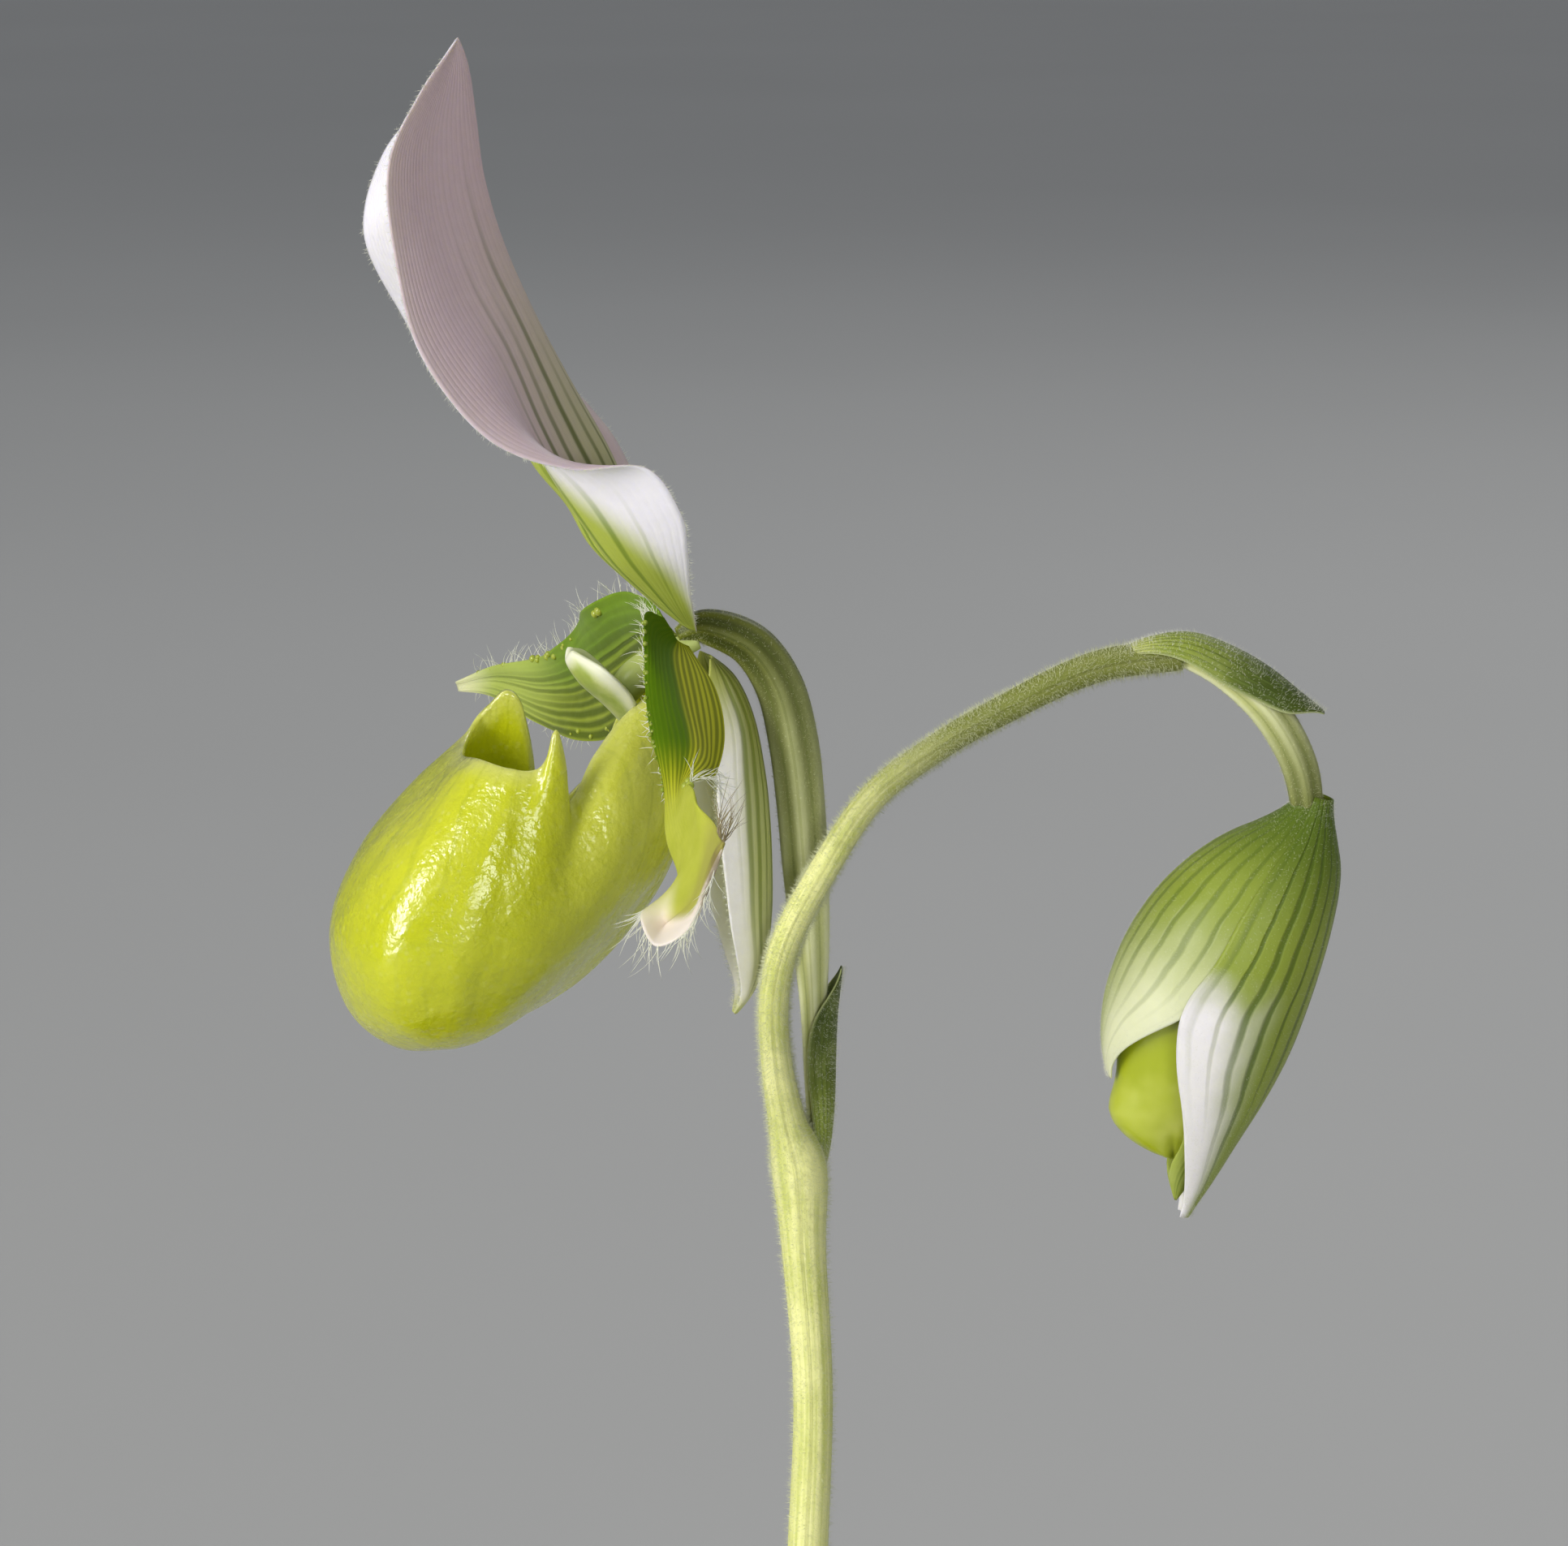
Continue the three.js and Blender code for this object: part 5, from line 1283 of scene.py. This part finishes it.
def lip_grid(columns, rows):
    """Slipper surface: rows of points from the rim (first) to the lowest point (last)."""
    lines = np.array([[*line, LIP_LOWEST] for line in LIP_LINES], float)
    other = lines * (1, -1, 1)
    for line, place in RIGHT_RIM.items():
        other[line, 0] = place
    ring = np.concatenate([lines, other[-2:0:-1]])
    lap = len(ring)
    wrapped = np.concatenate([ring[-2:], ring, ring[:3]])
    number = np.arange(columns) / columns * lap
    across = along(wrapped, (2 + number) / (len(wrapped) - 1))
    cut = np.interp(number, *zip(*RIGHT_NOTCH))
    down = np.linspace(0, 1, rows)
    grid = np.stack([along(line, low + (1 - low) * down) for line, low in zip(across, cut)], axis=1)
    for middle, shift, width in RIM_PULLS:
        pull = np.exp(-((number - middle) / width) ** 2)[None, :, None]
        grid = grid + pull * smoothstep(down, 0.2, 0.0)[:, None, None] * np.array(shift)
    return grid


def lip():
    """One run of rings: up the pouch's inner side to the rim, then down its outer side."""
    columns, rows = 256, 100
    grid = in_flower(lip_grid(columns, rows))[:-1]
    lowest = in_flower(np.array(LIP_LOWEST, float))
    normal = normals(grid, periodic=True)
    v = np.linspace(0, 1, rows)[:-1]
    thinner = (LIP_THICKNESS - LIP_RIM_THICKNESS) * smoothstep(v, 0.05, 0.0)
    half = normal * (LIP_THICKNESS - thinner)[:, None, None] / 2
    rings = np.concatenate([(grid - half)[::-1], grid + half])
    pole = unit(normal[-1].mean(axis=0)) * LIP_THICKNESS / 2
    u = np.arange(columns) / columns
    uv = np.stack(np.meshgrid(u, np.concatenate([v[::-1], v])), axis=-1).reshape(-1, 2)
    uv = np.concatenate([uv, [(0.5, 1), (0.5, 1)]])
    pouch = make_object("lip", *closed(rings, [lowest - pole, lowest + pole]), uv)
    dress(pouch, lip_paint(), "lip", "lip")


def column():
    post = tube("column", in_flower(stem_rings(COLUMN_POINTS, COLUMN_RADII, steps=40, sides=32)))
    dress(post, post_paint(), "column", "column")
    u = np.linspace(0, 1, 49)
    v = np.linspace(0, 1, 49)
    shield = in_flower(net(mirrored(SHIELD_ROWS), u, v))
    dress(blade("column_shield", shield, SHIELD_THICKNESS), column_paint(), "column")


# Bud

def bud_points(t, angle, radius):
    """Points at (t, angle) grids round the bud's axis."""
    axis = BUD_TIP - BUD_TOP
    lip_side = unit(np.cross((0.0, 1.0, 0.0), axis)[None])[0]
    turn = np.radians(angle)
    t = np.broadcast_to(t, turn.shape)
    sideways = soft(BUD_OFFSET, t) - radius * np.sin(turn)
    points = BUD_TOP + t[..., None] * axis + sideways[..., None] * lip_side
    points[..., 1] -= BUD_FLATNESS * radius * np.cos(turn)
    return points


def reflected(edge, total=180):
    """The same edge on the other side, where the two angles add up to total."""
    return [(t, total - angle) for t, angle in edge]


def bud_layer(first, last, edges, depth):
    """Sheet between two edges, over a span of t, at a depth under the bud's own outline."""
    u = np.linspace(0, 1, 73)[None, :]
    t = (first + (last - first) * np.linspace(0, 1, 97))[:, None]
    low, high = soft(edges[0], t), soft(edges[1], t)
    return bud_points(t, low + (high - low) * u, soft(BUD_RADIUS, t) - depth)


def bud_lip_rings():
    sides, rings = 96, 90
    v = 0.5 - 0.5 * np.cos(np.pi * np.linspace(0, 1, rings))[:, None]
    t = 0.1 + 0.775 * v
    plump = np.maximum(1 - (2 * v - 1) ** 4, 0.01) ** 0.4
    angle = 360 * np.arange(sides)[None, :] / sides
    facing = np.maximum(0, -np.sin(np.radians(angle)))
    radius = soft(BUD_RADIUS, t) - BUD_LIP_DEPTH + soft(BUD_BULGE, t) * facing ** 2
    return bud_points(t, np.broadcast_to(angle, (rings, sides)), np.maximum(radius, 0.5) * plump)


def bud(hair):
    back = bud_layer(-0.06, 1, (BUD_BACK_EDGE, reflected(BUD_BACK_EDGE)), -BUD_BACK_RISE)
    front = bud_layer(-0.05, 0.72, (reflected(BUD_FRONT_EDGE, -180), BUD_FRONT_EDGE), depth=0)
    back_paint = bud_paint("bud_back", 15, (0.90, 0.87, 0.83), (0.38, 0.52), (0.42, 0.85), 0.8)
    front_paint = bud_paint("bud_front", 13, (0.84, 0.87, 0.56), (0.34, 0.80), (-0.3, 0.6), 0.5)
    sheet("bud_dorsal_sepal", back, BUD_THICKNESS, back_paint, "bud_sepal")
    sheet("bud_synsepalum", front, BUD_THICKNESS, front_paint, "bud_sepal")
    petal = bud_petal_paint()
    far = [reflected(edge) for edge in BUD_PETAL_EDGES]
    for side, edges in (("left", BUD_PETAL_EDGES), ("right", far)):
        layer = bud_layer(0.12, 0.97, edges, BUD_PETAL_DEPTH)
        sheet(f"bud_petal_{side}", layer, BUD_THICKNESS, petal, "petal")
    lip_green = clouded_paint("bud_lip", (130.0, 3.0), (0.40, 0.47, 0.012), (0.60, 0.65, 0.11), 0.28,
                              0.12, Coat_Weight=0.3, Coat_Roughness=0.2, **living(1.4, 0.35, 0.5))
    dress(tube("bud_lip", bud_lip_rings()), lip_green, "lip", "bud_lip")
    axis = BUD_TOP + np.linspace(0, 1, 97)[:, None, None] * (BUD_TIP - BUD_TOP)
    for name, grid, count, seed in (("back", back, 9000, 41), ("front", front, 7000, 42)):
        coat = skin_hairs(f"bud_{name}_hairs", grid, count, (0.12, 0.32), thickness=0.009,
                          seed=seed, out_from=axis)
        dress(coat, hair, "bud_sepal")


# Camera, light and floor

def camera():
    data = bpy.data.cameras.new("camera")
    data.sensor_width = SENSOR
    data.lens = SENSOR * VIEW_DISTANCE / (IMAGE_WIDTH * PIXEL)
    data.clip_start = 0.01
    data.clip_end = 100.0
    thing = bpy.data.objects.new("camera", data)
    lift = math.radians(VIEW_ELEVATION)
    back = Vector((0.0, -math.cos(lift), math.sin(lift)))
    thing.location = (Vector(VIEW_TARGET) + back * VIEW_DISTANCE) * MM
    thing.rotation_euler = (math.pi / 2 - lift, 0.0, 0.0)
    bpy.context.scene.collection.objects.link(thing)
    bpy.context.scene.camera = thing


def area_light(name, place, target, size, power, tint=(1.0, 1.0, 1.0), height=None, spread=180):
    """Soft lamp that faces the target: size across, and height if it's taller than wide."""
    data = bpy.data.lights.new(name, "AREA")
    data.energy = power
    data.shape = "RECTANGLE" if height else "DISK"
    data.size = size
    data.size_y = height or size
    data.spread = math.radians(spread)
    data.color = tint
    lamp = bpy.data.objects.new(name, data)
    lamp.location = place
    aim = Vector(target) - Vector(place)
    lamp.rotation_euler = aim.to_track_quat("-Z", "Y").to_euler()
    bpy.context.scene.collection.objects.link(lamp)


def sky():
    """Pale studio light all round, as dim at the horizon as the far floor."""
    paint = Paint("studio", "worlds")
    height = paint.place("Generated").parts()[2]
    background = paint.tree.nodes["Background"]
    paint.put(background, "Color", (0.92, 0.95, 1.0))
    paint.put(background, "Strength", height.band(0.0, 0.55, 0.16, 0.30))
    bpy.context.scene.world = paint.owner


def studio():
    sky()
    bpy.context.scene.view_settings.view_transform = "Standard"
    flower = (-0.01, 0.0, 0.31)
    area_light("key", (-2.05, -1.85, 1.25), flower, 0.75, 26.0, (1.0, 0.98, 0.94), height=2.1,
               spread=100)
    area_light("fill", (0.7, -2.9, 0.7), flower, 1.2, 7.0, spread=100)
    area_light("rim", (1.1, 2.2, 2.0), flower, 1.2, 14.0)
    sides = 96
    angle = np.arange(sides) / sides * TURN
    ring = np.stack([np.cos(angle), np.sin(angle), np.zeros(sides)], axis=-1) * 20000.0
    floor = make_object("floor", ring, [np.arange(sides)[None, :]])
    floor.data.materials.append(floor_paint())


camera()
studio()
HAIR = hair_paint()
pot()
medium()
crown()
leaves()
stems()
bracts(HAIR)
sepals(HAIR)
petals(HAIR, hair_paint("dark_hair", (0.24, 0.19, 0.10)))
lip()
column()
bud(HAIR)
